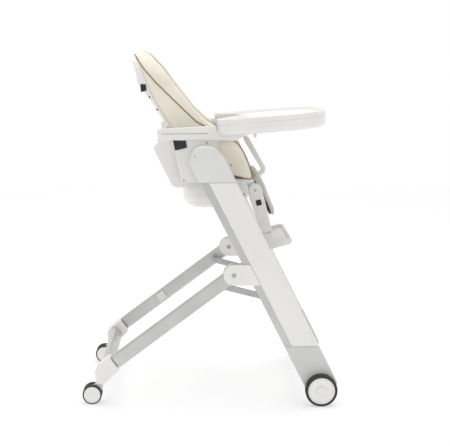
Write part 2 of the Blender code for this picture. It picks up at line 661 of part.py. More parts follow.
def seat_cushion():
    """Seat pad with the two side wings that stand beside the child."""
    edge = SEAT_FRONT
    corners = seat((-58, 106), (edge - 62, 116), (edge - 46, 113), (edge - 26, 87), (edge - 10, 50),
                   (edge + 1, 8), (edge - 6, 3), (-58, 3))
    outline = rounded(corners, [0.016, 0.020, 0.006, 0.03, 0.03, 0.006, 0.006, 0.006], 3)
    cushion = prism("seat_cushion", outline, -CUSHION_OUT, CUSHION_OUT, leatherette(), 0.003)
    inner = CUSHION_OUT - CUSHION_SIDE
    room = seat((-150, 28), (edge - 20, 28), (edge + 20, 34), (edge + 20, 150), (-150, 150))
    cut(cushion, prism("seat_room", rounded(room, [0.0, 0.02, 0.0, 0.0, 0.0], 3), -inner, inner, steel()))


def crotch_post():
    """Post between the child's legs, fixed to the front of the pan."""
    heel = SEAT_FRONT + 5
    corners = seat((81, 125), (100, 114), (153, 20), (150, 4), (140, -4), (heel, -4), (heel, 4), (133, 5), (141, 13),
                   (86, 104))
    outline = rounded(corners, [0.006, 0.010, 0.006, 0.004, 0.003, 0.002, 0.002, 0.003, 0.004, 0.006], 3)
    prism("crotch_post", outline, -POST_HALF, POST_HALF, white_plastic(), 0.0015)


def harness():
    """Shoulder straps on the backrest and the buckle on the seat pad."""
    pivot = back_pivot()
    for tag, side in SIDES:
        outline = seat((-75.7, 84.2), (-159.7, 231.2), (-157.7, 232.3), (-73.7, 85.3))
        strap = prism(f"shoulder_strap_{tag}", outline, side * 0.045, side * 0.070, webbing())
        put_origin(strap, pivot[0], 0.0, pivot[1])
    outline = rounded(seat((40, 30), (88, 30), (86, 42), (44, 44)), 0.004, 2)
    prism("harness_buckle", outline, -0.022, 0.022, black_plastic(), 0.002)


def back_pivot():
    return seat((-74, 75))[0]


def back_silhouette(name, half, drop=0.0):
    """Front-view outline of the backrest, as a cutter that runs through it along X."""
    top = SEAT_DATUM[1] + 0.391 - drop
    waist = top - BACK_TOP_ROUND
    count = 16
    points = []
    for index in range(count + 1):
        angle = math.pi * index / count
        cosine, sine = math.cos(angle), math.sin(angle)
        power = 2 / 2.4
        points.append((math.copysign(abs(cosine) ** power, cosine) * half, waist + BACK_TOP_ROUND * sine ** power))
    points += [(-half, top - 0.42), (half, top - 0.42)]
    mesh = bmesh.new()
    front, back = SEAT_DATUM[0] + 0.10, SEAT_DATUM[0] - 0.40
    near = [mesh.verts.new((front, y, z)) for y, z in points]
    far = [mesh.verts.new((back, y, z)) for y, z in points]
    mesh.faces.new(near)
    mesh.faces.new(list(reversed(far)))
    for index in range(len(points)):
        after = (index + 1) % len(points)
        mesh.faces.new((near[index], far[index], far[after], near[after]))
    return finish_mesh(name, mesh, steel())


def back_shell():
    """Moulded shell behind the back cushion, with the housing of the recline handle."""
    corners = seat((-259, 380), (-253, 345), (-244, 318), (-239, 290), (-218, 258), (-201, 238),
                          (-141, 140), (-105, 75), (-96, 55), (-86, 55), (-96, 76), (-132.5, 142), (-193, 243),
                          (-219, 300), (-251, 376))
    outline = rounded(corners, [0.003, 0.01, 0.01, 0.01, 0.01, 0.01, 0.01, 0.01, 0.003, 0.003, 0.01, 0.01, 0.01,
                                0.01, 0.003], 2)
    shell = prism("back_shell", outline, -BACK_HALF, BACK_HALF, white_plastic(), 0.002)
    cut(shell, back_silhouette("shell_shape", BACK_HALF - 0.001), "INTERSECT")
    slot = seat((-248, 296), (-221, 288), (-203, 252), (-230, 250))
    cut(shell, prism("handle_slot", slot, -0.077, 0.077, steel()))
    pivot = back_pivot()
    ear = rounded(seat((-128, 125), (-106, 74), (-92, 57), (-66, 57), (-56, 75), (-66, 93), (-112, 135)),
                  [0.003, 0.01, 0.006, 0.016, 0.016, 0.016, 0.003], 3)
    for tag, side in SIDES:
        cut(shell, prism(f"hinge_ear_{tag}", ear, side * (BACK_HALF - BACK_EAR), side * (BACK_HALF - 0.0002),
                         steel()), "UNION")
        pin = [(side * (BACK_HALF - 0.002), 0.0), (side * (BACK_HALF - 0.002), BACK_PIN),
               (side * (PAN_HALF - 0.0035), BACK_PIN), (side * (PAN_HALF - 0.0035), 0.0)]
        cut(shell, turned(f"hinge_pin_{tag}", pin, (pivot[0], 0.0, pivot[1]), steel(), 16), "UNION")
    put_origin(shell, pivot[0], 0.0, pivot[1])


def back_cushion():
    """Padded back with side wings, open at the front for the child."""
    corners = seat((-250.5, 377), (-239, 390), (-208, 377), (-166, 334), (-122, 276), (-73, 214),
                          (-30, 172), (-10, 162), (-4, 152), (-14, 105), (-52, 40), (-80, 56), (-95, 77), (-132, 143),
                          (-192, 244), (-218, 301))
    outline = rounded(corners, [0.006, 0.015, 0.03, 0.05, 0.05, 0.05, 0.05, 0.01, 0.01, 0.03, 0.01, 0.02, 0.02,
                                0.05, 0.05, 0.05], 3)
    half = BACK_HALF - BACK_EAR - FIT
    cushion = prism("back_cushion", outline, -half, half, leatherette(), 0.004)
    cut(cushion, back_silhouette("cushion_shape", half - 0.0005), "INTERSECT")
    inner = half - BACK_WING
    room = seat((-213, 362), (-196, 420), (100, 420), (100, 20), (-58, 22), (-71, 75), (-168, 245))
    cut(cushion, prism("back_room", rounded(room, [0.02, 0.0, 0.0, 0.0, 0.0, 0.03, 0.03], 3), -inner, inner,
                       steel()))
    pivot = back_pivot()
    put_origin(cushion, pivot[0], 0.0, pivot[1])


def recline_lever():
    """Handle across the back that frees the recline catch."""
    outline = rounded(seat((-239, 283), (-223, 277), (-212, 263), (-229, 262)), 0.003, 2)
    prism("recline_lever", outline, -0.074, 0.074, black_plastic(), 0.001, 1)


# ---------------------------------------------------------------- leg rest
ARM_DROP = Vector((0.272, -0.9623))      # direction down the leg-rest arms


def arm_point(down, ahead):
    """Side-view point down the leg-rest arm from its pivot, and ahead of its middle line."""
    pivot = legrest_pivot()
    return (pivot[0] + ARM_DROP.x * down - ARM_DROP.y * ahead, pivot[1] + ARM_DROP.y * down + ARM_DROP.x * ahead)


def legrest_frame():
    """Two arms on the pivot, joined by a cross plate behind the pad."""
    pivot = legrest_pivot()
    inner = LEGREST_ARM_OUT - LEGREST_ARM
    arc = [arm_point(-0.021 * math.sin(angle), 0.021 * math.cos(angle))
           for angle in [math.radians(180 * i / 10) for i in range(11)]]
    outline = arc + [arm_point(0.135, -0.016), arm_point(0.135, 0.016)]
    frame = prism("legrest_frame", outline, -LEGREST_ARM_OUT, -inner, white_plastic(), 0.002)
    other = prism("legrest_arm_L", outline, inner, LEGREST_ARM_OUT, steel(), 0.002)
    cross = rounded([arm_point(0.060, -0.012), arm_point(0.060, -0.003), arm_point(0.100, -0.003),
                     arm_point(0.100, -0.012)], 0.002, 2)
    cut(frame, prism("legrest_cross", cross, -inner - 0.004, inner + 0.004, steel()), "UNION")
    cut(frame, other, "UNION")
    pin_reach = LEGREST_ARM_OUT - LEGREST_ARM - TRAVEL_GAP - LEGREST_LUG
    for tag, side in SIDES:
        pin = [(side * (pin_reach + 0.002), 0.0), (side * (pin_reach + 0.002), LEGREST_PIN),
               (side * (inner + 0.004), LEGREST_PIN), (side * (inner + 0.004), 0.0)]
        cut(frame, turned(f"legrest_pin_{tag}", pin, (pivot[0], 0.0, pivot[1]), steel(), 16), "UNION")
        pocket = rounded([arm_point(0.030, -0.0085), arm_point(0.030, 0.0085), arm_point(0.048, 0.0085),
                          arm_point(0.048, -0.0085)], 0.003, 2)
        cut(frame, prism(f"button_pocket_{tag}", pocket, side * (LEGREST_ARM_OUT - 0.009),
                         side * (LEGREST_ARM_OUT + 0.01), steel()))
    put_origin(frame, pivot[0], 0.0, pivot[1])


def legrest_button(tag, side):
    """Push button that frees the leg rest's catch."""
    gap = 0.0006
    outline = rounded([arm_point(0.030 + gap, -0.0085 + gap), arm_point(0.030 + gap, 0.0085 - gap),
                       arm_point(0.048 - gap, 0.0085 - gap), arm_point(0.048 - gap, -0.0085 + gap)], 0.0025, 2)
    prism(f"legrest_button_{tag}", outline, side * (LEGREST_ARM_OUT - 0.0045), side * (LEGREST_ARM_OUT + 0.001),
          black_plastic(), 0.0008, 1)


def legrest_pad():
    """Calf pad, and the black board that it is fixed to."""
    pivot = legrest_pivot()
    half = LEGREST_ARM_OUT - LEGREST_ARM - TRAVEL_GAP - LEGREST_LUG - 0.003
    corners = seat((118, -18), (126, -21), (142, -34), (158, -62), (172, -96), (187, -134), (182, -137),
                   (152, -88), (138, -58), (124, -36))
    outline = rounded(corners, [0.004, 0.004, 0.02, 0.03, 0.04, 0.002, 0.002, 0.03, 0.03, 0.02], 2)
    pad = prism("legrest_pad", outline, -half, half, pad_leatherette(), 0.0015)
    put_origin(pad, pivot[0], 0.0, pivot[1])
    corners = seat((121, -38), (136, -60), (150, -90), (178, -132), (170, -130), (143, -97), (129, -88),
                   (121, -64), (115, -44))
    outline = rounded(corners, [0.002, 0.01, 0.02, 0.001, 0.002, 0.01, 0.01, 0.01, 0.002], 2)
    board = prism("legrest_board", outline, -half + 0.004, half - 0.004, black_plastic())
    put_origin(board, pivot[0], 0.0, pivot[1])


def footrest():
    """Foot plate with side cheeks and two legs that slide behind the arms."""
    start = 0.1365
    cheek = rounded([arm_point(start, -0.016), arm_point(start, 0.016), arm_point(start + 0.004, 0.046),
                     arm_point(start + 0.034, 0.068), arm_point(start + 0.052, 0.064),
                     arm_point(start + 0.052, -0.016)], [0.004, 0.012, 0.010, 0.014, 0.008, 0.004], 4)
    cheek_in = LEGREST_ARM_OUT - 0.009
    block = prism("footrest", cheek, -LEGREST_ARM_OUT, LEGREST_ARM_OUT, white_plastic(), 0.003)
    room = [arm_point(start - 0.02, -0.030), arm_point(start - 0.02, 0.09), arm_point(start + 0.044, 0.09),
            arm_point(start + 0.044, -0.030)]
    cut(block, prism("foot_room", room, -cheek_in, cheek_in, steel()))
    outer = LEGREST_ARM_OUT - LEGREST_ARM - TRAVEL_GAP
    for tag, side in SIDES:
        bar = [arm_point(0.062, 0.000), arm_point(0.062, 0.013), arm_point(start + 0.048, 0.013),
               arm_point(start + 0.048, 0.000)]
        cut(block, prism(f"footrest_leg_{tag}", bar, side * (outer - 0.007), side * outer, steel()), "UNION")
        bridge = [arm_point(start + 0.010, 0.001), arm_point(start + 0.010, 0.012), arm_point(start + 0.047, 0.012),
                  arm_point(start + 0.047, 0.001)]
        cut(block, prism(f"footrest_bridge_{tag}", bridge, side * (outer - 0.004), side * (cheek_in + 0.003),
                         steel()), "UNION")


# ---------------------------------------------------------------- tray
def tray_point(x, y, z):
    """Point of the tray's own level frame, set on the armrests at the tray's slope."""
    base = seat((-1, 133))[0]
    return (base[0] + x * math.cos(TRAY_SLOPE) - z * math.sin(TRAY_SLOPE), y,
            base[1] + x * math.sin(TRAY_SLOPE) + z * math.cos(TRAY_SLOPE))


def tray_outline():
    """Plan of the tray: a scooped rear edge, straight sides and a full round front."""
    shoulder = TRAY_REAR + 0.195
    scoop = 0.085
    front_reach = TRAY_DEPTH - shoulder
    half = []
    for index in range(10):
        angle = math.pi / 2 * index / 9
        power = 2 / 2.5
        half.append((shoulder + front_reach * math.cos(angle) ** power, TRAY_HALF * math.sin(angle) ** power))
    horn = rounded([(shoulder, TRAY_HALF), (TRAY_REAR, TRAY_HALF), (TRAY_REAR, TRAY_HALF - 0.070),
                    (scoop, 0.0)], [0.0, 0.034, 0.030, 0.0], 4)
    half += horn[1:-1]
    for index in range(1, 5):
        part = index / 4
        last = horn[-2]
        half.append((last[0] + (scoop - last[0]) * math.sin(part * math.pi / 2), last[1] * (1 - part)))
    mirrored = [(x, -y) for x, y in reversed(half[1:-1])]
    return half + mirrored


def tray_ring(outline, distance, height):
    return [tray_point(x, y, height) for x, y in inset(outline, distance)]


def tray_base():
    """Closed, double-walled lower tray with channels for the armrests' tongues and the handle."""
    outline = tray_outline()
    split = TRAY_SPLIT - FIT
    steps = [(0.008, 0.0), (0.002, 0.007), (0.0, 0.014), (0.0, split)]
    base = stacked("tray_base", [tray_ring(outline, *step) for step in steps], white_plastic())
    channel = tray_section(-0.010, 0.116, -0.010, 0.0195)
    for tag, side in SIDES:
        cut(base, prism(f"tongue_channel_{tag}", channel, side * (PLATE_OUT - 0.001), side * (ARM_OUT + 0.001),
                        steel()))
    pocket = tray_section(0.192, 0.226, -0.010, 0.0215)
    cut(base, prism("handle_pocket", pocket, -0.032, 0.032, steel()))


def tray_section(rear_x, front_x, low, high):
    """Side view of a rectangle in the tray's own frame."""
    corners = [(rear_x, low), (front_x, low), (front_x, high), (rear_x, high)]
    points = [tray_point(x, 0.0, z) for x, z in corners]
    return [(point[0], point[2]) for point in points]


def tray_top():
    """Lift-off upper tray with a raised rim round its basin."""
    outline = tray_outline()
    low, rim = TRAY_SPLIT, TRAY_RIM
    steps = [(0.001, low), (-0.001, low + 0.003), (0.0, rim - 0.004), (0.003, rim), (0.009, rim),
             (0.014, low + 0.006), (0.0175, low + 0.004)]
    stacked("tray_top", [tray_ring(outline, *step) for step in steps], white_plastic())


def tray_latch():
    """Pull handle under the tray that frees it from the armrests."""
    middle = 0.205
    corners = [(middle - 0.010, 0.020), (middle - 0.010, -0.004), (middle - 0.006, -0.018), (middle + 0.006, -0.018),
               (middle + 0.010, 0.020)]
    outline = [(tray_point(x, 0.0, z)[0], tray_point(x, 0.0, z)[2]) for x, z in corners]
    prism("tray_latch", rounded(outline, 0.003, 2), -0.030, 0.030, cap_plastic(), 0.0015, 1)


SIDES = (("R", -1), ("L", 1))


def build():
    for obj in list(bpy.data.objects):
        bpy.data.objects.remove(obj, do_unlink=True)
    for tag, side in SIDES:
        leg_rail(tag, side)
        leg_cover(tag, side)
        leg_cap(tag, side)
        foot_cover(tag, side)
        front_wheel(tag, side)
        fold_bracket(tag, side)
        rear_tube(tag, side)
        rear_corner(tag, side)
        tube_clip(tag, side)
        caster(tag, side)
        strut(tag, side)
        side_plate(tag, side)
        carriage(tag, side)
        armrest(tag, side)
        height_lever(tag, side)
        legrest_button(tag, side)
    front_crossbar()
    rear_crossbar()
    seat_pan()
    belly_cover()
    seat_cushion()
    crotch_post()
    harness()
    back_shell()
    back_cushion()
    recline_lever()
    legrest_frame()
    legrest_pad()
    footrest()
    tray_base()
    tray_top()
    tray_latch()


build()
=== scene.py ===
import json
import math

import bmesh
import bpy
import numpy as np
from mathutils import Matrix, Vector


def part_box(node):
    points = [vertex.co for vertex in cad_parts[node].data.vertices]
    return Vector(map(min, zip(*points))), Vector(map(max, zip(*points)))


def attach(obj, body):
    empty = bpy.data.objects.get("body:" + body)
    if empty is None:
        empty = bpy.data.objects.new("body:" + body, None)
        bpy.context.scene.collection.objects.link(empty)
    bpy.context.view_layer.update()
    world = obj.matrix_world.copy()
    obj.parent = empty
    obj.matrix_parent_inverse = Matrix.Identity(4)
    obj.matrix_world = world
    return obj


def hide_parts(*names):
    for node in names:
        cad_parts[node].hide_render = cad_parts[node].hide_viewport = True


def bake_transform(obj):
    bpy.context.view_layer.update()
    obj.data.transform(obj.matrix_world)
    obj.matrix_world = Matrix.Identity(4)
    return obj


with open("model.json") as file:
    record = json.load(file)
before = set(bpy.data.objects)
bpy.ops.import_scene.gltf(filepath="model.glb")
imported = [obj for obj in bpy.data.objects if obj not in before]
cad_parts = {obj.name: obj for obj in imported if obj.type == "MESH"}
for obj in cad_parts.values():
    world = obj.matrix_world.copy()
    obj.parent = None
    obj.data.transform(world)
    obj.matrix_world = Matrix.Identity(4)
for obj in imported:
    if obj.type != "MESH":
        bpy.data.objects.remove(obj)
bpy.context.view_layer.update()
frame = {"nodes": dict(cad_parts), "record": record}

SIDES = (("R", -1), ("L", 1))


# ------------------------------------------------------------------ places read from the frame
def box(node):
    """Low and high corner of a CAD node."""
    low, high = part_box(node)
    return Vector(low), Vector(high)


def joint(name):
    """A joint of the record by its name."""
    return next(j for j in frame["record"]["behaviour"]["joints"] if j["name"] == name)


# lengths in metres; seat-unit outlines in millimetres
WHEEL = (box("front_tyre_R")[0] + box("front_tyre_R")[1]) / 2
WHEEL_RADIUS = (box("front_tyre_R")[1].z - box("front_tyre_R")[0].z) / 2
LEG_OUT = -box("leg_cover_R")[0].y
LEG_IN = -box("leg_cover_R")[1].y
LEG_ANGLE = math.radians(63.3)                  # slope of the front leg from the floor
LEG_LENGTH = 0.693                              # wheel axle to the underside of the leg's cap
LEGREST_PIVOT = Vector(joint("legrest_tilt")["pos_m"])
PLATE_FACE = box("side_plate_L")[1].y           # outer faces, from the centre plane
ARMREST_FACE = box("armrest_L")[1].y
ARM_FACE = box("legrest_frame")[1].y


# ------------------------------------------------------------------ shader helpers
def linear(code):
    """sRGB hex to a linear colour."""
    values = [int(code[i:i + 2], 16) / 255 for i in (1, 3, 5)]
    return (*[v / 12.92 if v <= 0.04045 else ((v + 0.055) / 1.055) ** 2.4 for v in values], 1.0)


def add(tree, kind, settings=None, **links):
    """Adds a node, sets its settings and inputs, and links sockets into it."""
    made = tree.nodes.new(kind)
    for name, value in (settings or {}).items():
        if name in made.inputs:
            made.inputs[name].default_value = value
        else:
            setattr(made, name, value)
    for name, source in links.items():
        tree.links.new(source, made.inputs[name.replace("_", " ")])
    return made


def new_material(name, code, roughness, ior=1.5, metallic=0.0):
    """A material with its shader's own values set; gives the material, its tree and the shader."""
    made = bpy.data.materials.new(name)
    made.use_nodes = True
    shader = made.node_tree.nodes["Principled BSDF"]
    shader.inputs["Base Color"].default_value = linear(code)
    shader.inputs["Roughness"].default_value = roughness
    shader.inputs["Metallic"].default_value = metallic
    if not metallic:
        shader.inputs["IOR"].default_value = ior
    return made, made.node_tree, shader


def place(tree):
    """Object coordinates, in metres."""
    return add(tree, "ShaderNodeTexCoord").outputs["Object"]


def per_mm(size):
    """Texture scale that repeats about once every so many millimetres."""
    return 1000.0 / size


def tint(tree, shader, factor, first, second):
    """Colour that wanders between two hex values with a factor."""
    ramp = add(tree, "ShaderNodeValToRGB", None, Fac=factor)
    for stop, position, code in zip(ramp.color_ramp.elements, (0.3, 0.7), (first, second)):
        stop.position = position
        stop.color = linear(code)
    tree.links.new(ramp.outputs["Color"], shader.inputs["Base Color"])


def relief(tree, shader, height, depth_mm, strength):
    """Raised and sunken surface that follows a height."""
    bump = add(tree, "ShaderNodeBump", {"Strength": strength, "Distance": depth_mm / 1000.0}, Height=height)
    tree.links.new(bump.outputs["Normal"], shader.inputs["Normal"])


def span(tree, shader, socket, factor, low, high):
    """A number that wanders between two values with a factor."""
    ranged = add(tree, "ShaderNodeMapRange", {"To Min": low, "To Max": high}, Value=factor)
    tree.links.new(ranged.outputs["Result"], shader.inputs[socket])


def moulded_plastic(name, light, dark, roughness, grain_mm, depth_mm):
    """Injection-moulded plastic: a fine spark-eroded grain and the faint waviness of a large moulding."""
    made, tree, shader = new_material(name, light, roughness, 1.53)
    where = place(tree)
    broad = add(tree, "ShaderNodeTexNoise", {"Scale": per_mm(140), "Detail": 2.0}, Vector=where)
    grain = add(tree, "ShaderNodeTexNoise", {"Scale": per_mm(grain_mm), "Detail": 3.0}, Vector=where)
    tint(tree, shader, broad.outputs["Fac"], dark, light)
    span(tree, shader, "Roughness", grain.outputs["Fac"], roughness - 0.05, roughness + 0.08)
    relief(tree, shader, grain.outputs["Fac"], depth_mm, 0.35)
    return made


def white_abs():
    """White ABS with a satin face: highlights are soft but still have an edge."""
    made = moulded_plastic("white_abs", "#eeedea", "#e9e8e5", 0.34, 1.2, 0.02)
    made.node_tree.nodes["Principled BSDF"].inputs["Coat Weight"].default_value = 0.15
    return made


def pale_grey_abs():
    """Pale grey ABS with a finer, duller texture than the white covers."""
    return moulded_plastic("pale_grey_abs", "#e2e2e0", "#dddddb", 0.42, 1.0, 0.03)


def foot_polypropylene():
    """Grey polypropylene of the feet: waxy, a little darker, with a coarser texture."""
    return moulded_plastic("foot_polypropylene", "#d5d5d3", "#cfcfcd", 0.48, 1.4, 0.05)


def black_nylon():
    """Glass-filled nylon levers and slide blocks: near black with a cool, dusty sheen."""
    return moulded_plastic("black_nylon", "#1b1d26", "#13151c", 0.45, 0.8, 0.03)


def anodised_aluminium():
    """Extruded and anodised tube: a fine etched tooth breaks up and dulls its highlights."""
    made, tree, shader = new_material("anodised_aluminium", "#c9c9c7", 0.36, metallic=0.75)
    where = place(tree)
    lines = add(tree, "ShaderNodeTexNoise", {"Scale": per_mm(1.6), "Detail": 4.0, "Roughness": 0.6},
                Vector=where)
    broad = add(tree, "ShaderNodeTexNoise", {"Scale": per_mm(90)}, Vector=where)
    tint(tree, shader, broad.outputs["Fac"], "#c4c4c3", "#cececc")
    span(tree, shader, "Roughness", lines.outputs["Fac"], 0.30, 0.46)
    relief(tree, shader, lines.outputs["Fac"], 0.015, 0.3)
    return made


def zinc_steel():
    """Zinc-plated steel of pins, axles and braces: bluish grey with a cloudy bloom."""
    made, tree, shader = new_material("zinc_steel", "#b4b5b6", 0.32, metallic=1.0)
    bloom = add(tree, "ShaderNodeTexNoise", {"Scale": per_mm(9), "Detail": 4.0}, Vector=place(tree))
    tint(tree, shader, bloom.outputs["Fac"], "#a9aaac", "#bdbdbd")
    span(tree, shader, "Roughness", bloom.outputs["Fac"], 0.25, 0.42)
    return made


def tyre_rubber():
    """Soft thermoplastic tread: black, dull, with a slight dusty bloom."""
    made, tree, shader = new_material("tyre_rubber", "#2b2b2d", 0.62, 1.52)
    dust = add(tree, "ShaderNodeTexNoise", {"Scale": per_mm(6), "Detail": 5.0}, Vector=place(tree))
    tint(tree, shader, dust.outputs["Fac"], "#242426", "#343436")
    relief(tree, shader, dust.outputs["Fac"], 0.08, 0.4)
    return made


def leatherette(name, light, dark, roughness):
    """Coated fabric: embossed pebble grain with creases between the cells, a soft sheen and faint shading.

    Real grain is about 0.8 mm, drawn at 1.6 mm so that it shows.
    """
    made, tree, shader = new_material(name, light, roughness, 1.48)
    where = place(tree)
    cells = add(tree, "ShaderNodeTexVoronoi", {"Scale": per_mm(1.6), "feature": "SMOOTH_F1"}, Vector=where)
    wrinkle = add(tree, "ShaderNodeTexNoise", {"Scale": per_mm(11), "Detail": 4.0, "Distortion": 0.6},
                  Vector=where)
    both = add(tree, "ShaderNodeMath", {"operation": "MULTIPLY_ADD"})
    tree.links.new(wrinkle.outputs["Fac"], both.inputs[0])
    both.inputs[1].default_value = 1.4
    tree.links.new(cells.outputs["Distance"], both.inputs[2])
    broad = add(tree, "ShaderNodeTexNoise", {"Scale": per_mm(70), "Detail": 3.0}, Vector=where)
    tint(tree, shader, broad.outputs["Fac"], dark, light)
    span(tree, shader, "Roughness", cells.outputs["Distance"], roughness - 0.08, roughness + 0.10)
    relief(tree, shader, both.outputs["Value"], 0.25, 0.35)
    shader.inputs["Sheen Weight"].default_value = 0.08
    shader.inputs["Sheen Roughness"].default_value = 0.4
    return made


def cream_leatherette():
    """Warm cream cover of the seat and the back: supple, so its grain is soft and its sheen low."""
    return leatherette("cream_leatherette", "#f1ebdd", "#eae3d3", 0.46)


def grey_leatherette():
    """Greyer, drier cover of the calf rest: darker than the cream of the seat and the back, and a little
    rougher.
    """
    return leatherette("grey_leatherette", "#d0cec4", "#c6c4b9", 0.50)


def gold_piping():
    """Bronze-gold piping cord: a satin woven cover over a thin core, darker between the threads."""
    made, tree, shader = new_material("gold_piping", "#93774a", 0.45, 1.5)
    where = place(tree)
    threads = add(tree, "ShaderNodeTexNoise", {"Scale": per_mm(1.2), "Detail": 3.0}, Vector=where)
    tint(tree, shader, threads.outputs["Fac"], "#6f5836", "#a88a58")
    relief(tree, shader, threads.outputs["Fac"], 0.2, 0.5)
    return made


def harness_webbing():
    """Woven polyester webbing: ribs across the strap, 1.6 mm apart, with a fine fuzz."""
    made, tree, shader = new_material("harness_webbing", "#b9b4ac", 0.8, 1.5)
    where = place(tree)
    ribs = add(tree, "ShaderNodeTexWave", {"Scale": per_mm(1.6) / 6.28, "bands_direction": "Z",
                                           "Distortion": 0.4}, Vector=where)
    fuzz = add(tree, "ShaderNodeTexNoise", {"Scale": per_mm(2)}, Vector=where)
    tint(tree, shader, fuzz.outputs["Fac"], "#aaa49a", "#c4bfb6")
    relief(tree, shader, ribs.outputs["Fac"], 0.3, 0.6)
    shader.inputs["Sheen Weight"].default_value = 0.3
    return made


def studio_floor():
    """Matt seamless paper, lit from below so that shadows on it stay faint."""
    made, tree, shader = new_material("studio_paper", "#c4c4c4", 0.9, 1.4)
    shader.inputs["Specular IOR Level"].default_value = 0.1
    shader.inputs["Emission Color"].default_value = linear("#ffffff")
    shader.inputs["Emission Strength"].default_value = 0.50
    fibre = add(tree, "ShaderNodeTexNoise", {"Scale": per_mm(3)}, Vector=place(tree))
    tint(tree, shader, fibre.outputs["Fac"], "#c2c2c2", "#c8c8c8")
    return made


WHITE = white_abs()
PALE = pale_grey_abs()
FOOT = foot_polypropylene()
BLACK = black_nylon()
ALUMINIUM = anodised_aluminium()
STEEL = zinc_steel()
RUBBER = tyre_rubber()
CREAM = cream_leatherette()
GREY_PAD = grey_leatherette()
GOLD = gold_piping()
WEBBING = harness_webbing()


# ------------------------------------------------------------------ mesh helpers
def keep(name, mesh, surface, body, replaces=(), smooth=40):
    """Turns a bmesh into a named piece that rides on a body."""
    bmesh.ops.recalc_face_normals(mesh, faces=mesh.faces)
    data = bpy.data.meshes.new(name)
    mesh.to_mesh(data)
    mesh.free()
    data.materials.append(surface)
    data.shade_smooth()
    data.set_sharp_from_angle(angle=math.radians(smooth))
    piece = bpy.data.objects.new(name, data)
    bpy.context.scene.collection.objects.link(piece)
    return settle(piece, body, replaces)


def settle(piece, body, replaces=()):
    """Parents a piece to the empty of the body it rides on, and hides the CAD nodes that it stands for."""
    if body:
        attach(piece, body)
    if replaces:
        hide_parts(*replaces)
    return piece


def rings_mesh(rings):
    """Joins rings of equal point count into a skin that is closed at both ends."""
    mesh = bmesh.new()
    made = [[mesh.verts.new(point) for point in ring] for ring in rings]
    mesh.faces.new(made[0])
    mesh.faces.new(list(reversed(made[-1])))
    for ring, following in zip(made, made[1:]):
        for index in range(len(ring)):
            after = (index + 1) % len(ring)
            mesh.faces.new((ring[index], following[index], following[after], ring[after]))
    return mesh


def rounded(points, radius, steps=8):
    """The outline with each corner replaced by an arc; radius is one value or one per corner."""
    count = len(points)
    radii = radius if isinstance(radius, (list, tuple)) else [radius] * count
    result = []
    for index, corner in enumerate(points):
        here = Vector(corner)
        back = Vector(points[index - 1]) - here
        ahead = Vector(points[(index + 1) % count]) - here
        half = back.angle(ahead) / 2
        reach = min(radii[index] / math.tan(half), 0.48 * back.length, 0.48 * ahead.length)
        if reach < 1e-6:
            result.append(tuple(here))
            continue
        first = here + back.normalized() * reach
        last = here + ahead.normalized() * reach
        for step in range(steps + 1):
            t = step / steps
            result.append(tuple(first * (1 - t) ** 2 + here * 2 * t * (1 - t) + last * t ** 2))
    return result


def area(outline):
    """Area of an outline, negative when it runs clockwise."""
    return sum(a[0] * b[1] - b[0] * a[1] for a, b in zip(outline, outline[1:] + outline[:1])) / 2


def inset(outline, distance):
    """The outline moved inwards by a distance."""
    turn = 1.0 if area(outline) > 0 else -1.0
    result = []
    for index, point in enumerate(outline):
        here = Vector(point)
        before = (here - Vector(outline[index - 1])).normalized()
        after = (Vector(outline[(index + 1) % len(outline)]) - here).normalized()
        normal = Vector((-before.y - after.y, before.x + after.x)).normalized()
        stretch = 1.0 / max(0.6, normal.dot(Vector((-before.y, before.x))))
        result.append(tuple(here + normal * (turn * distance * stretch)))
    return result


def plate(name, outline, y_from, y_to, edge, surface, body, replaces=(), segments=4):
    """A side-view outline with thickness along Y and rounded edges."""
    low, high = sorted((y_from, y_to))
    turns = [math.pi / 2 * i / segments for i in range(segments + 1)]
    steps = [(edge * (1 - math.sin(a)), edge * (1 - math.cos(a))) for a in turns]
    layers = [(shrink, low + depth) for shrink, depth in steps]
    layers += [(shrink, high - depth) for shrink, depth in reversed(steps)]
    rings = [[(x, y, z) for x, z in inset(outline, shrink)] for shrink, y in layers]
    return keep(name, rings_mesh(rings), surface, body, replaces)


def turned(name, profile, centre, surface, body, replaces=(), steps=96):
    """A piece turned about a line along Y: the profile is (distance along it, radius)."""
    mesh = bmesh.new()
    rings = []
    for along, radius in profile:
        count = steps if radius > 1e-6 else 1
        ring = []
        for index in range(count):
            angle = 2 * math.pi * index / steps
            ring.append(mesh.verts.new((centre[0] + radius * math.cos(angle), centre[1] + along,
                                        centre[2] + radius * math.sin(angle))))
        rings.append(ring)
    pairs = list(zip(rings, rings[1:]))
    if len(rings[0]) > 1:
        pairs.append((rings[-1], rings[0]))
    for ring, following in pairs:
        for index in range(steps):
            after = (index + 1) % steps
            corners = [ring[index % len(ring)], ring[after % len(ring)],
                       following[after % len(following)], following[index % len(following)]]
            unique = list(dict.fromkeys(corners))
            if len(unique) > 2:
                mesh.faces.new(unique)
    return keep(name, mesh, surface, body, replaces, 30)


def arc_profile(along, radius, size, start, end, steps=6):
    """Points of an arc in a turned profile, from one angle to another, in degrees."""
    angles = [math.radians(start + (end - start) * i / steps) for i in range(steps + 1)]
    return [(along + size * math.cos(angle), radius + size * math.sin(angle)) for angle in angles]


def piping(name, points, radius, surface, body):
    """A round cord sewn along an edge."""
    curve = bpy.data.curves.new(name, "CURVE")
    curve.dimensions = "3D"
    curve.bevel_depth = radius
    curve.bevel_resolution = 3
    curve.use_fill_caps = True
    curve.resolution_u = 6
    spline = curve.splines.new("NURBS")
    spline.points.add(len(points) - 1)
    for spot, point in zip(spline.points, points):
        spot.co = (*point, 1.0)
    spline.order_u = 3
    spline.use_endpoint_u = True
    curve.materials.append(surface)
    piece = bpy.data.objects.new(name, curve)
    bpy.context.scene.collection.objects.link(piece)
    return settle(piece, body, ())


def smooth_step(value, low, high):
    """0 below low, 1 above high, and a smooth rise between them."""
    t = min(1.0, max(0.0, (value - low) / (high - low)))
    return t * t * (3 - 2 * t)


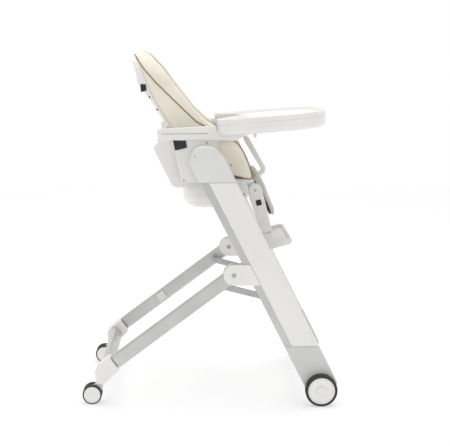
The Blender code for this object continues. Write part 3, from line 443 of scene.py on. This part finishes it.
# ------------------------------------------------------------------ padding
PAD_VOXEL = 0.0055


def inflate(piece, cap, voxel=PAD_VOXEL):
    """Remeshes a pad, swells it with cloth under pressure, and keeps each point within a cap of its start."""
    remesh = piece.modifiers.new("even_mesh", "REMESH")
    remesh.mode = "VOXEL"
    remesh.voxel_size = voxel
    graph = bpy.context.evaluated_depsgraph_get()
    data = bpy.data.meshes.new_from_object(piece.evaluated_get(graph))
    piece.modifiers.clear()
    surface = piece.data.materials[0]
    piece.data = data
    if not data.materials:
        data.materials.append(surface)
    count = len(data.vertices)
    start = np.empty(count * 3)
    data.vertices.foreach_get("co", start)
    cloth = piece.modifiers.new("cover", "CLOTH")
    cloth.settings.use_pressure = True
    cloth.settings.uniform_pressure_force = 4.0
    cloth.settings.tension_stiffness = 12
    cloth.settings.compression_stiffness = 12
    cloth.settings.bending_stiffness = 1.5
    cloth.settings.quality = 5
    cloth.settings.effector_weights.gravity = 0.0
    cloth.collision_settings.use_collision = False
    cloth.collision_settings.use_self_collision = False
    for number in range(1, 21):
        bpy.context.scene.frame_set(number)
    graph = bpy.context.evaluated_depsgraph_get()
    swollen = np.empty(count * 3)
    piece.evaluated_get(graph).data.vertices.foreach_get("co", swollen)
    piece.modifiers.clear()
    bpy.context.scene.frame_set(1)
    shift = (swollen - start).reshape(-1, 3)
    length = np.linalg.norm(shift, axis=1, keepdims=True)
    shift *= np.minimum(1.0, cap / np.maximum(length, 1e-9))
    data.vertices.foreach_set("co", (start.reshape(-1, 3) + shift).ravel())
    data.shade_smooth()
    data.update()
    return piece


def subdivide(piece):
    """Smooths a pad's skin with one level of subdivision, applied."""
    modifier = piece.modifiers.new("smooth_skin", "SUBSURF")
    modifier.levels = 1
    modifier.render_levels = 1
    graph = bpy.context.evaluated_depsgraph_get()
    data = bpy.data.meshes.new_from_object(piece.evaluated_get(graph))
    piece.modifiers.clear()
    piece.data = data
    data.shade_smooth()
    return piece


def reshape(piece, rule):
    """Moves each point by rule(point), which gives a new place."""
    for vertex in piece.data.vertices:
        vertex.co = rule(vertex.co.copy())
    piece.data.update()
    return piece


# ------------------------------------------------------------------ side-view frames
AXLE = (WHEEL.x, WHEEL.z)
SIN_LEG = math.sin(LEG_ANGLE)
COS_LEG = math.cos(LEG_ANGLE)
SLOT_MID = 0.0067                               # axle line to the middle of the slide's slot


def leg(up, out):
    """Side-view point measured up the front leg from the axle, and out square to it."""
    return (AXLE[0] - up * COS_LEG + out * SIN_LEG, AXLE[1] + up * SIN_LEG + out * COS_LEG)


SEAT_DATUM = leg(LEG_LENGTH, SLOT_MID)


def seat(*points):
    """Seat-unit points, in millimetres from the point where the slide meets the leg's cap."""
    return [(SEAT_DATUM[0] + x * 0.001, SEAT_DATUM[1] + z * 0.001) for x, z in points]


def seat_outline(corners, steps=6):
    """Seat-unit outline with rounded corners, from (x, z, corner radius) in millimetres."""
    places = seat(*[corner[:2] for corner in corners])
    return rounded(places, [corner[2] * 0.001 for corner in corners], steps)


def spot(x, z, y):
    """Seat-unit point in space: x and z in millimetres, y in metres."""
    place_x, place_z = seat((x, z))[0]
    return Vector((place_x, y, place_z))


def point(pair):
    """Side-view point as a place on the centre plane."""
    return Vector((pair[0], 0.0, pair[1]))


TRAY_SLOPE = math.radians(4.5)
TRAY_ORIGIN = spot(-1, 133, 0.0)


def tray_point(x, y, z):
    """Point of the tray's own level frame."""
    return Vector((TRAY_ORIGIN.x + x * math.cos(TRAY_SLOPE) - z * math.sin(TRAY_SLOPE), y,
                   TRAY_ORIGIN.z + x * math.sin(TRAY_SLOPE) + z * math.cos(TRAY_SLOPE)))


ARM_DROP = Vector((0.272, -0.9623))             # direction down the leg-rest arms


def arm_place(down, ahead):
    """Side-view point down the leg-rest arm from its pivot, and ahead of its middle line."""
    return (LEGREST_PIVOT.x + ARM_DROP.x * down - ARM_DROP.y * ahead,
            LEGREST_PIVOT.z + ARM_DROP.y * down + ARM_DROP.x * ahead)


def arm_outline(corners):
    """Outline with rounded corners, from (down the arm, ahead of it, corner radius) in millimetres."""
    places = [arm_place(down * 0.001, ahead * 0.001) for down, ahead, _ in corners]
    return rounded(places, [radius * 0.001 for _, _, radius in corners])


# ------------------------------------------------------------------ finishes of the CAD nodes
FINISHES = {
    "anodised_aluminium": ALUMINIUM, "white_plastic": WHITE, "cap_plastic": PALE, "foot_plastic": FOOT,
    "steel": STEEL, "tyre_rubber": RUBBER, "black_plastic": BLACK, "cream_leatherette": CREAM,
    "grey_leatherette": GREY_PAD, "harness_webbing": WEBBING,
}


def finish_frame():
    """Gives each CAD node its finish, and lets light run round its small edges."""
    for part in frame["record"]["subparts"]:
        node = frame["nodes"][part["node"]]
        node.data.materials.clear()
        node.data.materials.append(FINISHES[part["material_slot"]])
        node.data.shade_smooth()
        node.data.set_sharp_from_angle(angle=math.radians(62))
        normals = node.modifiers.new("weighted_normals", "WEIGHTED_NORMAL")
        normals.keep_sharp = True
        normals.weight = 80


# ------------------------------------------------------------------ wheels
def front_wheel(tag, side):
    """Moulded disc with a raised rim ring, and the soft tread round it."""
    centre = (box(f"front_tyre_{tag}")[0] + box(f"front_tyre_{tag}")[1]) / 2
    half = (box(f"front_tyre_{tag}")[1].y - box(f"front_tyre_{tag}")[0].y) / 2
    rim = WHEEL_RADIUS - 0.0078
    face = half * 0.97
    hole = 0.0054
    profile = [(-half * 0.9, hole), (-half * 0.9, rim), (face - 0.001, rim), (face, rim - 0.0006),
               (face, rim - 0.0030), (face - 0.0006, rim - 0.0036), (face - 0.0020, rim - 0.0044)]
    for step in range(9):
        part = step / 8
        dish = face - 0.0022 + 0.0016 * math.cos(math.pi / 2 * part)
        profile.append((dish, (rim - 0.0048) * (1 - part) + 0.012 * part))
    profile += [(face + 0.0004, 0.0105), (face + 0.0012, 0.0092), (face + 0.0012, hole)]
    profile = [(side * along, radius) for along, radius in profile]
    turned(f"wheel_disc_{tag}", profile, centre, WHITE, f"front_wheel_{tag}", (f"front_hub_{tag}",))
    low, high = box(f"wheel_axle_{tag}")
    head = max(abs(low.y), abs(high.y)) - abs(centre.y)
    turned(f"wheel_cap_{tag}", dome(side, face - 0.001, 0.0125, 0.0008, head - face + 0.0014), centre, WHITE,
           f"front_wheel_{tag}", (), 48)
    tread = [(-half, rim + 0.0004), (-half, WHEEL_RADIUS - 0.0045)]
    tread += arc_profile(-half + 0.004, WHEEL_RADIUS - 0.004, 0.004, 180, 90)
    for groove in (-0.0045, 0.0, 0.0045):
        tread += [(groove - 0.0008, WHEEL_RADIUS), (groove - 0.0004, WHEEL_RADIUS - 0.0009),
                  (groove + 0.0004, WHEEL_RADIUS - 0.0009), (groove + 0.0008, WHEEL_RADIUS)]
    tread += arc_profile(half - 0.004, WHEEL_RADIUS - 0.004, 0.004, 90, 0)
    tread += [(half, rim + 0.0004)]
    turned(f"wheel_tread_{tag}", [(side * a, r) for a, r in tread], centre, RUBBER, f"front_wheel_{tag}",
           (f"front_tyre_{tag}",), 120)


def caster_pair(tag):
    """Twin caster wheels: pale discs with thin dark treads, on one axle."""
    low, high = box(f"caster_wheels_{tag}")
    centre = (low + high) / 2
    radius = (high.z - low.z) / 2
    outer = (high.y - low.y) / 2
    inner = outer - 0.0165
    body = f"caster_wheel_pair_{tag}"
    rim = radius - 0.0042
    replaced = (f"caster_wheels_{tag}",)
    for name, way in (("near", -1), ("far", 1)):
        disc = [(inner, 0.0), (inner, rim), (outer - 0.0012, rim), (outer - 0.0004, rim - 0.0008),
                (outer - 0.0004, rim - 0.0022), (outer - 0.0016, rim - 0.0030)]
        disc += [(outer - 0.0016 + 0.0014 * (i / 6), (rim - 0.0030) * (1 - i / 6) + 0.0045 * i / 6)
                 for i in range(1, 7)] + [(outer, 0.004), (outer, 0.0)]
        turned(f"caster_disc_{tag}_{name}", [(way * a, r) for a, r in disc], centre, WHITE, body, replaced,
               64)
        replaced = ()
        tread = [(inner + 0.0005, rim + 0.0003), (inner + 0.0005, radius - 0.002)]
        tread += arc_profile(inner + 0.0025, radius - 0.002, 0.002, 180, 90, 4)
        tread += arc_profile(outer - 0.0035, radius - 0.0025, 0.0025, 90, 0, 4)
        tread += [(outer - 0.0010, rim + 0.0003)]
        turned(f"caster_tread_{tag}_{name}", [(way * a, r) for a, r in tread], centre, RUBBER, body, (),
               72)
    reach = inner + 0.0005
    axle = [(-reach, 0.0), (-reach, 0.0032), (reach, 0.0032), (reach, 0.0)]
    turned(f"caster_axle_{tag}", axle, centre, STEEL, body, (), 32)


# ------------------------------------------------------------------ leg caps and small hard details
def leg_cap(tag, side):
    """Smooth domed cap on top of the leg."""
    back, front = -0.045, 0.054
    base = box(f"leg_cap_{tag}")[0].z

    def up_at(out):
        return (base - AXLE[1] - out * COS_LEG) / SIN_LEG

    above = [(0.092, back), (0.1195, -0.018), (0.1175, 0.010), (0.098, 0.042), (0.060, front)]
    corners = [leg(LEG_LENGTH + up, out) for up, out in above]
    corners = [leg(up_at(back), back), *corners, leg(up_at(front), front)]
    outline = rounded(corners, [0.0, 0.030, 0.030, 0.030, 0.030, 0.035, 0.0], 8)
    proud = 0.0015
    plate(f"cap_shell_{tag}", outline, side * (LEG_IN - proud), side * (LEG_OUT + proud), 0.0045, PALE,
          "front_frame", (f"leg_cap_{tag}",), 5)
    turned(f"cap_rivet_{tag}", dome(side, LEG_OUT + 0.0013, 0.0028, 0.0010),
           point(leg(LEG_LENGTH + 0.100, -0.022)), STEEL, "front_frame", (), 32)


def dome(side, start, radius, height, rim=0.0):
    """Profile of a low domed head that stands on a face, with an edge that goes straight up first."""
    steps = 6
    angles = [math.pi / 2 * i / steps for i in range(1, steps)]
    half = [(start, 0.0), (start, radius), (start + rim, radius)]
    half += [(start + rim + height * math.sin(angle), radius * math.cos(angle)) for angle in angles]
    half += [(start + rim + height, 0.0)]
    return [(side * along, r) for along, r in half]


def screw(name, where, side, face, radius, body):
    """Screw head with a sunken middle, a hair proud of the face."""
    recess = radius * 0.42
    profile = [(face - 0.0006, 0.0), (face - 0.0006, radius), (face + 0.0001, radius),
               (face + 0.0005, radius * 0.86), (face + 0.0006, recess), (face - 0.0002, recess * 0.55),
               (face - 0.0003, 0.0)]
    turned(name, [(side * a, r) for a, r in profile], point(where), STEEL, body, (), 40)


def seat_fittings(tag, side):
    """Screws of the side plate and the leg rest's pivot, and the link plate under the seat."""
    screw(f"plate_screw_front_{tag}", seat((-33.5, 113))[0], side, PLATE_FACE, 0.0032, "seat")
    screw(f"plate_screw_low_{tag}", seat((-103.3, 0))[0], side, PLATE_FACE, 0.0032, "seat")
    screw(f"pivot_screw_{tag}", arm_place(0.0, 0.0), side, ARM_FACE + 0.0002, 0.0036, "legrest")
    link = seat_outline([(67, -14, 2), (90, -18, 4), (90.5, -53, 8), (84, -62.5, 5), (77, -57.5, 6),
                         (67, -32, 6)], 8)
    link_face = ARM_FACE + 0.0055
    plate(f"link_lug_{tag}", link, side * (ARM_FACE + 0.0005), side * link_face, 0.0015, WHITE, "seat", ())
    screw(f"link_screw_{tag}", seat((78.5, -47.5))[0], side, link_face, 0.0034, "seat")


def back_fittings(tag, side):
    """Grip of the recline handle, and the snaps that hold the cover to the shell."""
    grip = rounded(seat((-231, 284), (-214.5, 284), (-212.5, 265.5), (-229, 260)), 0.003)
    plate(f"recline_grip_{tag}", grip, side * 0.1500, side * 0.1672, 0.0012, BLACK, "recline_handle", ())
    for number, (x, z) in enumerate(((-204, 246), (-181, 209), (-150, 154))):
        turned(f"cover_snap_{tag}_{number}", dome(side, 0.1648, 0.0026, 0.0012), spot(x, z, 0.0), BLACK,
               "backrest", (), 32)


def armrest_line(tag, side):
    """Thin gold line along the armrest."""
    line = [(-168, 139.5), (-120, 139.8), (-60, 140.3), (-30, 140.6)]
    places = [spot(x, z, side * (ARMREST_FACE + 0.0002)) for x, z in line]
    piping(f"armrest_line_{tag}", places, 0.0006, GOLD, "seat")


def hard_details():
    """The small hard pieces of both sides."""
    for tag, side in SIDES:
        seat_fittings(tag, side)
        back_fittings(tag, side)
        armrest_line(tag, side)


# ------------------------------------------------------------------ tray
TRAY_HALF = 0.238
TRAY_DEPTH = 0.340
TRAY_SPLIT = 0.0323                             # height at which the upper tray starts
TRAY_RIM = 0.049


def tray_outline():
    """Plan of the tray: a scooped rear edge, straight sides and a full round front."""
    shoulder, scoop = 0.195, 0.085
    reach = TRAY_DEPTH - shoulder
    half = []
    for index in range(33):
        angle = math.pi / 2 * index / 32
        half.append((shoulder + reach * math.cos(angle) ** 0.8, TRAY_HALF * math.sin(angle) ** 0.8))
    horn = rounded([(shoulder, TRAY_HALF), (0.0, TRAY_HALF), (0.0, TRAY_HALF - 0.070), (scoop, 0.0)],
                   [0.0, 0.034, 0.030, 0.0], 10)
    half += horn[1:-1]
    last = horn[-2]
    for index in range(1, 13):
        part = index / 12
        half.append((last[0] + (scoop - last[0]) * math.sin(part * math.pi / 2), last[1] * (1 - part)))
    return half + [(x, -y) for x, y in reversed(half[1:-1])]


def shrink(outline, distance):
    """The plan drawn in towards its inside without crossing itself at the horns."""
    moved = inset(outline, distance)
    if distance > 0.012:
        for _ in range(3):
            around = zip(moved[-1:] + moved[:-1], moved, moved[1:] + moved[:1])
            moved = [tuple((Vector(a) + 2 * Vector(b) + Vector(c)) / 4) for a, b, c in around]
    return moved


def tray_shell(name, steps, body, node):
    """A shell of the tray's plan, from (distance in from the plan, height) of each ring."""
    outline = tray_outline()
    rings = [[tray_point(x, y, z) for x, y in shrink(outline, distance)] for distance, z in steps]
    keep(name, rings_mesh(rings), WHITE, body, (node,), 50)


def upper_tray():
    """Lift-off tray with a soft rolled rim round its basin."""
    bead = TRAY_RIM - 0.0060
    steps = [(0.0001, TRAY_SPLIT), (-0.0009, TRAY_SPLIT + 0.0008), (-0.001, TRAY_SPLIT + 0.004),
             (-0.0004, bead)]
    for turn in (20, 40, 60, 80, 100, 120):
        angle = math.radians(turn)
        steps.append((0.0052 - 0.0056 * math.cos(angle), bead + 0.0060 * math.sin(angle)))
    steps += [(0.0105, TRAY_RIM - 0.0030), (0.0135, TRAY_SPLIT + 0.0075), (0.0150, TRAY_SPLIT + 0.0052),
              (0.0175, TRAY_SPLIT + 0.004)]
    tray_shell("tray_rim_shell", steps, "tray_insert", "tray_top")


def lower_tray():
    """Rounded lower shell, deepest under its sides."""
    steps = [(0.012, 0.0006), (0.0085, 0.0), (0.0050, 0.0022), (0.0025, 0.006), (0.0010, 0.011),
             (0.0003, 0.018), (0.0, 0.026), (0.0, TRAY_SPLIT - 0.0002)]
    tray_shell("tray_lower_shell", steps, "tray", "tray_base")


def tray_fittings():
    """Pull under the front of the tray, and the catch at each side that grips the armrest's tongue."""
    section = [(0.1955, 0.018), (0.1955, -0.003), (0.200, -0.010), (0.210, -0.010), (0.2145, -0.003),
               (0.2145, 0.018)]
    places = [tray_point(x, 0.0, z) for x, z in section]
    pull = rounded([(at.x, at.z) for at in places], 0.003)
    plate("tray_pull", pull, -0.0295, 0.0295, 0.0015, PALE, "tray_handle", ("tray_latch",))
    catch = rounded(seat((104, 139), (114, 139), (112.5, 127), (105.5, 127)), 0.0015)
    for tag, side in SIDES:
        plate(f"tray_catch_{tag}", catch, side * 0.1965, side * 0.2045, 0.0010, PALE, "tray", ())


# ------------------------------------------------------------------ padding of the seat
def seat_pad():
    """Foam seat pad: a rounded slab between the wings, with sewn channels across it."""
    half = 0.1665
    outline = seat_outline([(-57, 4, 6), (-57, 31, 12), (82, 31, 30), (99, 22, 12), (102, 5, 6)], 8)
    pad = plate("seat_pad", outline, -half, half, 0.008, CREAM, None)
    inflate(pad, 0.003)
    middle = seat((22, 0))[0][0]
    top = seat((0, 20))[0][1]

    def crowned(place):
        """Crown across the pad, and three sewn grooves that run across it."""
        if place.z < top:
            return place
        rise = smooth_step(place.z, top, top + 0.010)
        across = 1 - (place.y / half) ** 2
        along = 1 - ((place.x - middle) / 0.085) ** 2
        place.z += 0.004 * max(0.0, across) * max(0.0, along) * rise
        for line in (-0.035, 0.010, 0.055):
            place.z -= 0.0042 * math.exp(-((place.x - middle - line) / 0.0035) ** 2) * rise
        return place

    reshape(pad, crowned)
    subdivide(pad)
    settle(pad, "seat", ("seat_cushion",))


def seat_wing(tag, side):
    """Padded side wing beside the child, with piping along its front edge and a snap button."""
    outer, inner = 0.1903, 0.1690
    outline = seat_outline([(-57, 6, 4), (-57, 112, 20), (36, 124, 20), (54, 116, 12), (77, 86, 50),
                            (92.5, 50, 50), (103.5, 8, 5), (99, 3, 5), (71, 6, 40), (41, 14, 60)], 8)
    wing = plate(f"seat_wing_{tag}", outline, side * inner, side * outer, 0.007, CREAM, None)
    inflate(wing, 0.0018)
    subdivide(wing)
    settle(wing, "seat", ())
    edge = [(40, 122.5), (51, 116), (63, 102.5), (76, 85), (91, 50), (100.5, 20), (103, 8), (99, 2.5),
            (88, 3), (70, 6), (40, 14.5)]
    places = [spot(x, z, side * (outer - 0.0045)) for x, z in edge]
    piping(f"wing_piping_{tag}", places, 0.0017, GOLD, "seat")
    turned(f"wing_snap_{tag}", dome(side, outer - 0.0002, 0.0052, 0.0018, 0.0008), spot(38, 45, 0.0), STEEL,
           "seat", (), 40)


# ------------------------------------------------------------------ padding of the back
BACK_TOP = 391.0                                # seat-unit height of the back's top edge
BACK_ROUND = 105.0                              # height of its rounded top
BACK_HALF = 0.1605
BACK_SEAM = [(-249, 372), (-222, 331), (-187, 291), (-128, 233), (-66, 173.5), (-35, 157), (-12, 153)]


def back_half(z_mm):
    """Half the width of the back at a seat-unit height: full round at the top."""
    part = min(1.0, max(0.0, (z_mm - BACK_TOP + BACK_ROUND) / BACK_ROUND))
    return BACK_HALF * (1 - part ** 2.4) ** (1 / 2.4)


def narrowed(piece):
    """Draws a piece in towards the middle so that it follows the rounded top of the back."""
    def rule(place):
        place.y *= max(0.08, back_half((place.z - SEAT_DATUM[1]) * 1000.0) / BACK_HALF)
        return place

    reshape(piece, rule)


def back_pad():
    """Foam back pad between the wings, with sewn channels across it."""
    half = BACK_HALF - 0.024
    outline = seat_outline([(-247, 378, 6), (-238, 386, 10), (-214, 366, 30), (-170, 250, 50), (-71, 79, 40),
                            (-60, 50, 8), (-79, 55, 6), (-95, 78, 20), (-132, 143, 50), (-192, 244, 50),
                            (-218, 302, 50)])
    pad = plate("back_pad", outline, -half, half, 0.006, CREAM, None)
    inflate(pad, 0.003)
    narrowed(pad)
    head, foot = [Vector(end) for end in seat((-214, 366), (-71, 79))]
    along = (head - foot).normalized()
    ahead = Vector((along.y, -along.x))

    def channels(place):
        """Crown of the pad's face, and four sewn grooves that run across it."""
        offset = Vector((place.x, place.z)) - foot
        up, front = offset.dot(along), offset.dot(ahead)
        if front < -0.010:
            return place
        depth = 0.0
        for line in (0.055, 0.110, 0.165, 0.220):
            depth += 0.0045 * math.exp(-((up - line) / 0.004) ** 2)
        depth -= 0.004 * max(0.0, 1 - (place.y / half) ** 2)
        depth *= smooth_step(front, -0.010, -0.002)
        place.x -= ahead.x * depth
        place.z -= ahead.y * depth
        return place

    reshape(pad, channels)
    subdivide(pad)
    settle(pad, "backrest", ("back_cushion",))


def between(line, parts):
    """The line's points with evenly spaced ones added between each two."""
    dense = [(a[0] + (b[0] - a[0]) * i / parts, a[1] + (b[1] - a[1]) * i / parts)
             for a, b in zip(line, line[1:]) for i in range(parts)]
    return dense + [line[-1]]


def ahead_of(line, place):
    """How far a side-view point lies in front of a line that runs down and forward."""
    best = None
    for first, second in zip(line, line[1:]):
        run = second - first
        part = min(1.0, max(0.0, (place - first).dot(run) / run.length_squared))
        offset = place - (first + run * part)
        if best is None or offset.length < abs(best):
            best = math.copysign(offset.length, offset.dot(Vector((-run.y, run.x))))
    return best


def back_wing(tag, side):
    """Padded wing of the back that wraps forward beside the child, with piping down its outer seam."""
    outer, inner = BACK_HALF, BACK_HALF - 0.030
    outline = seat_outline([(-256, 377, 6), (-240, 389, 15), (-208, 377, 40), (-166, 334, 60),
                            (-122, 276, 60), (-73, 214, 60), (-30, 172, 60), (-11, 162, 10), (-5, 152, 12),
                            (-15, 105, 40),
                            (-53, 42, 12), (-84, 52, 10), (-100, 74, 30), (-137, 140, 50), (-197, 241, 50),
                            (-224, 298, 50)])
    wing = plate(f"back_wing_{tag}", outline, side * inner, side * outer, 0.006, CREAM, None)
    inflate(wing, 0.0016)
    seam = [Vector(place) for place in seat(*BACK_SEAM)]

    def bolster(place):
        """Past the seam the wing rolls in towards the child."""
        beyond = ahead_of(seam, Vector((place.x, place.z)))
        if beyond > 0 and abs(place.y) > inner:
            share = min(1.0, beyond / 0.042)
            place.y = side * (inner + (abs(place.y) - inner) * (1 - 0.72 * share ** 1.6))
        return place

    reshape(wing, bolster)
    narrowed(wing)
    subdivide(wing)
    settle(wing, "backrest", ())
    seam_line = [spot(x, z, side * (outer + 0.0014) * back_half(z) / BACK_HALF)
                 for x, z in between(BACK_SEAM, 8)]
    piping(f"back_piping_{tag}", seam_line, 0.0019, GOLD, "backrest")


# ------------------------------------------------------------------ leg rest
def legrest():
    """Calf pad that hangs from the seat's front edge, and the black board that carries it."""
    half = 0.1175
    outline = seat_outline([(106, -12, 3), (105, 12, 6), (110, 18, 5), (121, 13, 10), (132, -4, 30),
                            (144, -29, 40), (153, -53, 40), (162, -76, 40), (174, -106, 30), (173, -119, 3),
                            (166, -119, 3), (158, -100, 40), (150, -73, 40), (143, -47, 40), (134, -28, 20),
                            (123, -14, 6)])
    pad = plate("calf_pad", outline, -half, half, 0.004, GREY_PAD, None)
    inflate(pad, 0.0022, 0.0045)
    subdivide(pad)
    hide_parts("legrest_pad")
    spot(110, 6, 0.0)
    spot(128, -30, 0.0)
    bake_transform(pad)
    board = seat_outline([(110, -13, 1), (121, -14, 6), (130, -20, 20), (139, -36, 30), (146, -58, 40),
                          (153, -84, 40), (163, -114, 2), (158, -113, 2), (149, -97, 20), (142, -82, 20),
                          (136, -59, 30), (128, -40, 20), (121, -27, 10), (110, -18, 1)])
    plate("calf_board", board, -half + 0.003, half - 0.003, 0.0008, BLACK, "legrest", ("legrest_board",))
    for tag, side in SIDES:
        turned(f"calf_snap_{tag}", dome(side, half + 0.0005, 0.0042, 0.0014), spot(114, 6, 0.0), STEEL,
               "seat", (), 32)


def footrest():
    """Shallow moulded foot plate with a low rim, on two sleeves that carry on the line of the arms."""
    sole = arm_outline([(176, -15, 3), (177, 60, 10), (183.5, 66.5, 8), (188.5, 61, 8), (188.5, -15, 3)])
    plate("foot_plate", sole, -0.1465, 0.1465, 0.002, WHITE, "footrest", ("footrest",))
    lip = arm_outline([(169, 59, 3), (170, 66.5, 3), (184, 67.5, 5), (184, 59, 2)])
    plate("foot_lip", lip, -0.1440, 0.1440, 0.002, WHITE, "footrest", ())
    rim = arm_outline([(166.5, -16, 4), (166.5, 50, 20), (174, 68, 12), (188.5, 64, 9), (188.5, -16, 4)])
    sleeve = arm_outline([(137, -15.5, 0), (137, 15.5, 0), (178, 15.5, 0), (178, -15.5, 0)])
    rod = arm_outline([(62, 0, 0), (62, 13, 0), (180, 13, 0), (180, 0, 0)])
    for tag, side in SIDES:
        for name, outline, inner, outer, edge in (("rim", rim, 0.1395, 0.1500, 0.0030),
                                                  ("sleeve", sleeve, 0.1365, 0.1495, 0.0015),
                                                  ("slide", rod, 0.1280, 0.1350, 0.0008)):
            plate(f"foot_{name}_{tag}", outline, side * inner, side * outer, edge, WHITE, "footrest", ())


# ------------------------------------------------------------------ harness
def strap(tag, side):
    """Shoulder strap: flat webbing that leaves a slot in the back and lies down its face."""
    path = [(-171.5, 246), (-166, 240), (-150, 211), (-120, 158), (-95, 114), (-74, 80), (-58, 58), (-30, 40),
            (10, 37), (40, 39)]
    lift, half, thick = 0.0075, 0.0125, 0.0018
    points = [Vector(place) for place in seat(*path)]
    rings = []
    for index, here in enumerate(points):
        run = points[min(len(points) - 1, index + 1)] - points[max(0, index - 1)]
        normal = Vector((-run.y, run.x)).normalized()
        middle = side * (0.0575 - 0.030 * smooth_step(index / (len(points) - 1), 0.55, 1.0))
        rings.append([(here.x + normal.x * (lift + t), middle + w, here.y + normal.y * (lift + t))
                      for w, t in ((-half, 0.0), (half, 0.0), (half, thick), (-half, thick))])
    keep(f"strap_web_{tag}", rings_mesh(rings), WEBBING, "backrest", (f"shoulder_strap_{tag}",))


# ------------------------------------------------------------------ stage
def floor():
    """Sheet of white paper under and in front of the chair."""
    bpy.ops.mesh.primitive_plane_add(size=14.0, location=(0.0, 3.0, -0.0004))
    sheet = bpy.context.object
    sheet.name = "studio_floor"
    sheet.data.materials.append(studio_floor())


def backdrop():
    """White wall far behind, lit so evenly that it glows."""
    made = bpy.data.materials.new("lit_wall")
    made.use_nodes = True
    shader = made.node_tree.nodes["Principled BSDF"]
    shader.inputs["Base Color"].default_value = linear("#000000")
    shader.inputs["Specular IOR Level"].default_value = 0.0
    shader.inputs["Emission Color"].default_value = linear("#ffffff")
    shader.inputs["Emission Strength"].default_value = 1.0
    bpy.ops.mesh.primitive_plane_add(size=14.0, location=(0.0, 5.5, 3.0), rotation=(math.pi / 2, 0.0, 0.0))
    wall = bpy.context.object
    wall.name = "studio_wall"
    wall.data.materials.append(made)


def lamp(name, place_at, target, size, power, colour):
    """A rectangular soft light that faces a target."""
    data = bpy.data.lights.new(name, "AREA")
    data.shape = "RECTANGLE"
    data.size, data.size_y = size
    data.energy = power
    data.color = colour
    obj = bpy.data.objects.new(name, data)
    bpy.context.scene.collection.objects.link(obj)
    obj.location = place_at
    obj.rotation_euler = (Vector(target) - Vector(place_at)).to_track_quat("-Z", "Y").to_euler()


def studio():
    """White seamless set: a bright even surround, a large soft lamp above, and a low one from each side."""
    floor()
    backdrop()
    lamp("overhead", (0.1, 0.5, 2.9), (0.0, 0.2, 0.0), (3.0, 2.4), 34.0, (1.0, 0.995, 0.985))
    lamp("side_fill", (-2.1, -2.2, 1.3), (0.0, 0.0, 0.6), (1.6, 1.6), 7.0, (0.985, 0.99, 1.0))
    lamp("front_fill", (2.2, -1.9, 1.2), (0.0, 0.0, 0.6), (1.4, 1.4), 4.0, (1.0, 1.0, 1.0))
    world = bpy.context.scene.world or bpy.data.worlds.new("surround")
    bpy.context.scene.world = world
    world.use_nodes = True
    back = world.node_tree.nodes["Background"]
    back.inputs["Color"].default_value = linear("#fdfdfd")
    back.inputs["Strength"].default_value = 0.70
    bpy.context.scene.view_settings.view_transform = "Standard"


def camera():
    """Long lens from the front, a little above the tray."""
    data = bpy.data.cameras.new("camera")
    data.lens = 89.12
    data.sensor_width = 36.0
    obj = bpy.data.objects.new("camera", data)
    bpy.context.scene.collection.objects.link(obj)
    obj.location = (-0.0455, -3.501, 1.0311)
    obj.rotation_euler = (math.radians(81.575), 0.0, math.radians(-1.628))
    bpy.context.scene.camera = obj


finish_frame()
for tag, side in SIDES:
    front_wheel(tag, side)
    caster_pair(tag)
    leg_cap(tag, side)
    seat_wing(tag, side)
    back_wing(tag, side)
    strap(tag, side)
hard_details()
upper_tray()
lower_tray()
tray_fittings()
seat_pad()
back_pad()
legrest()
footrest()
studio()
camera()
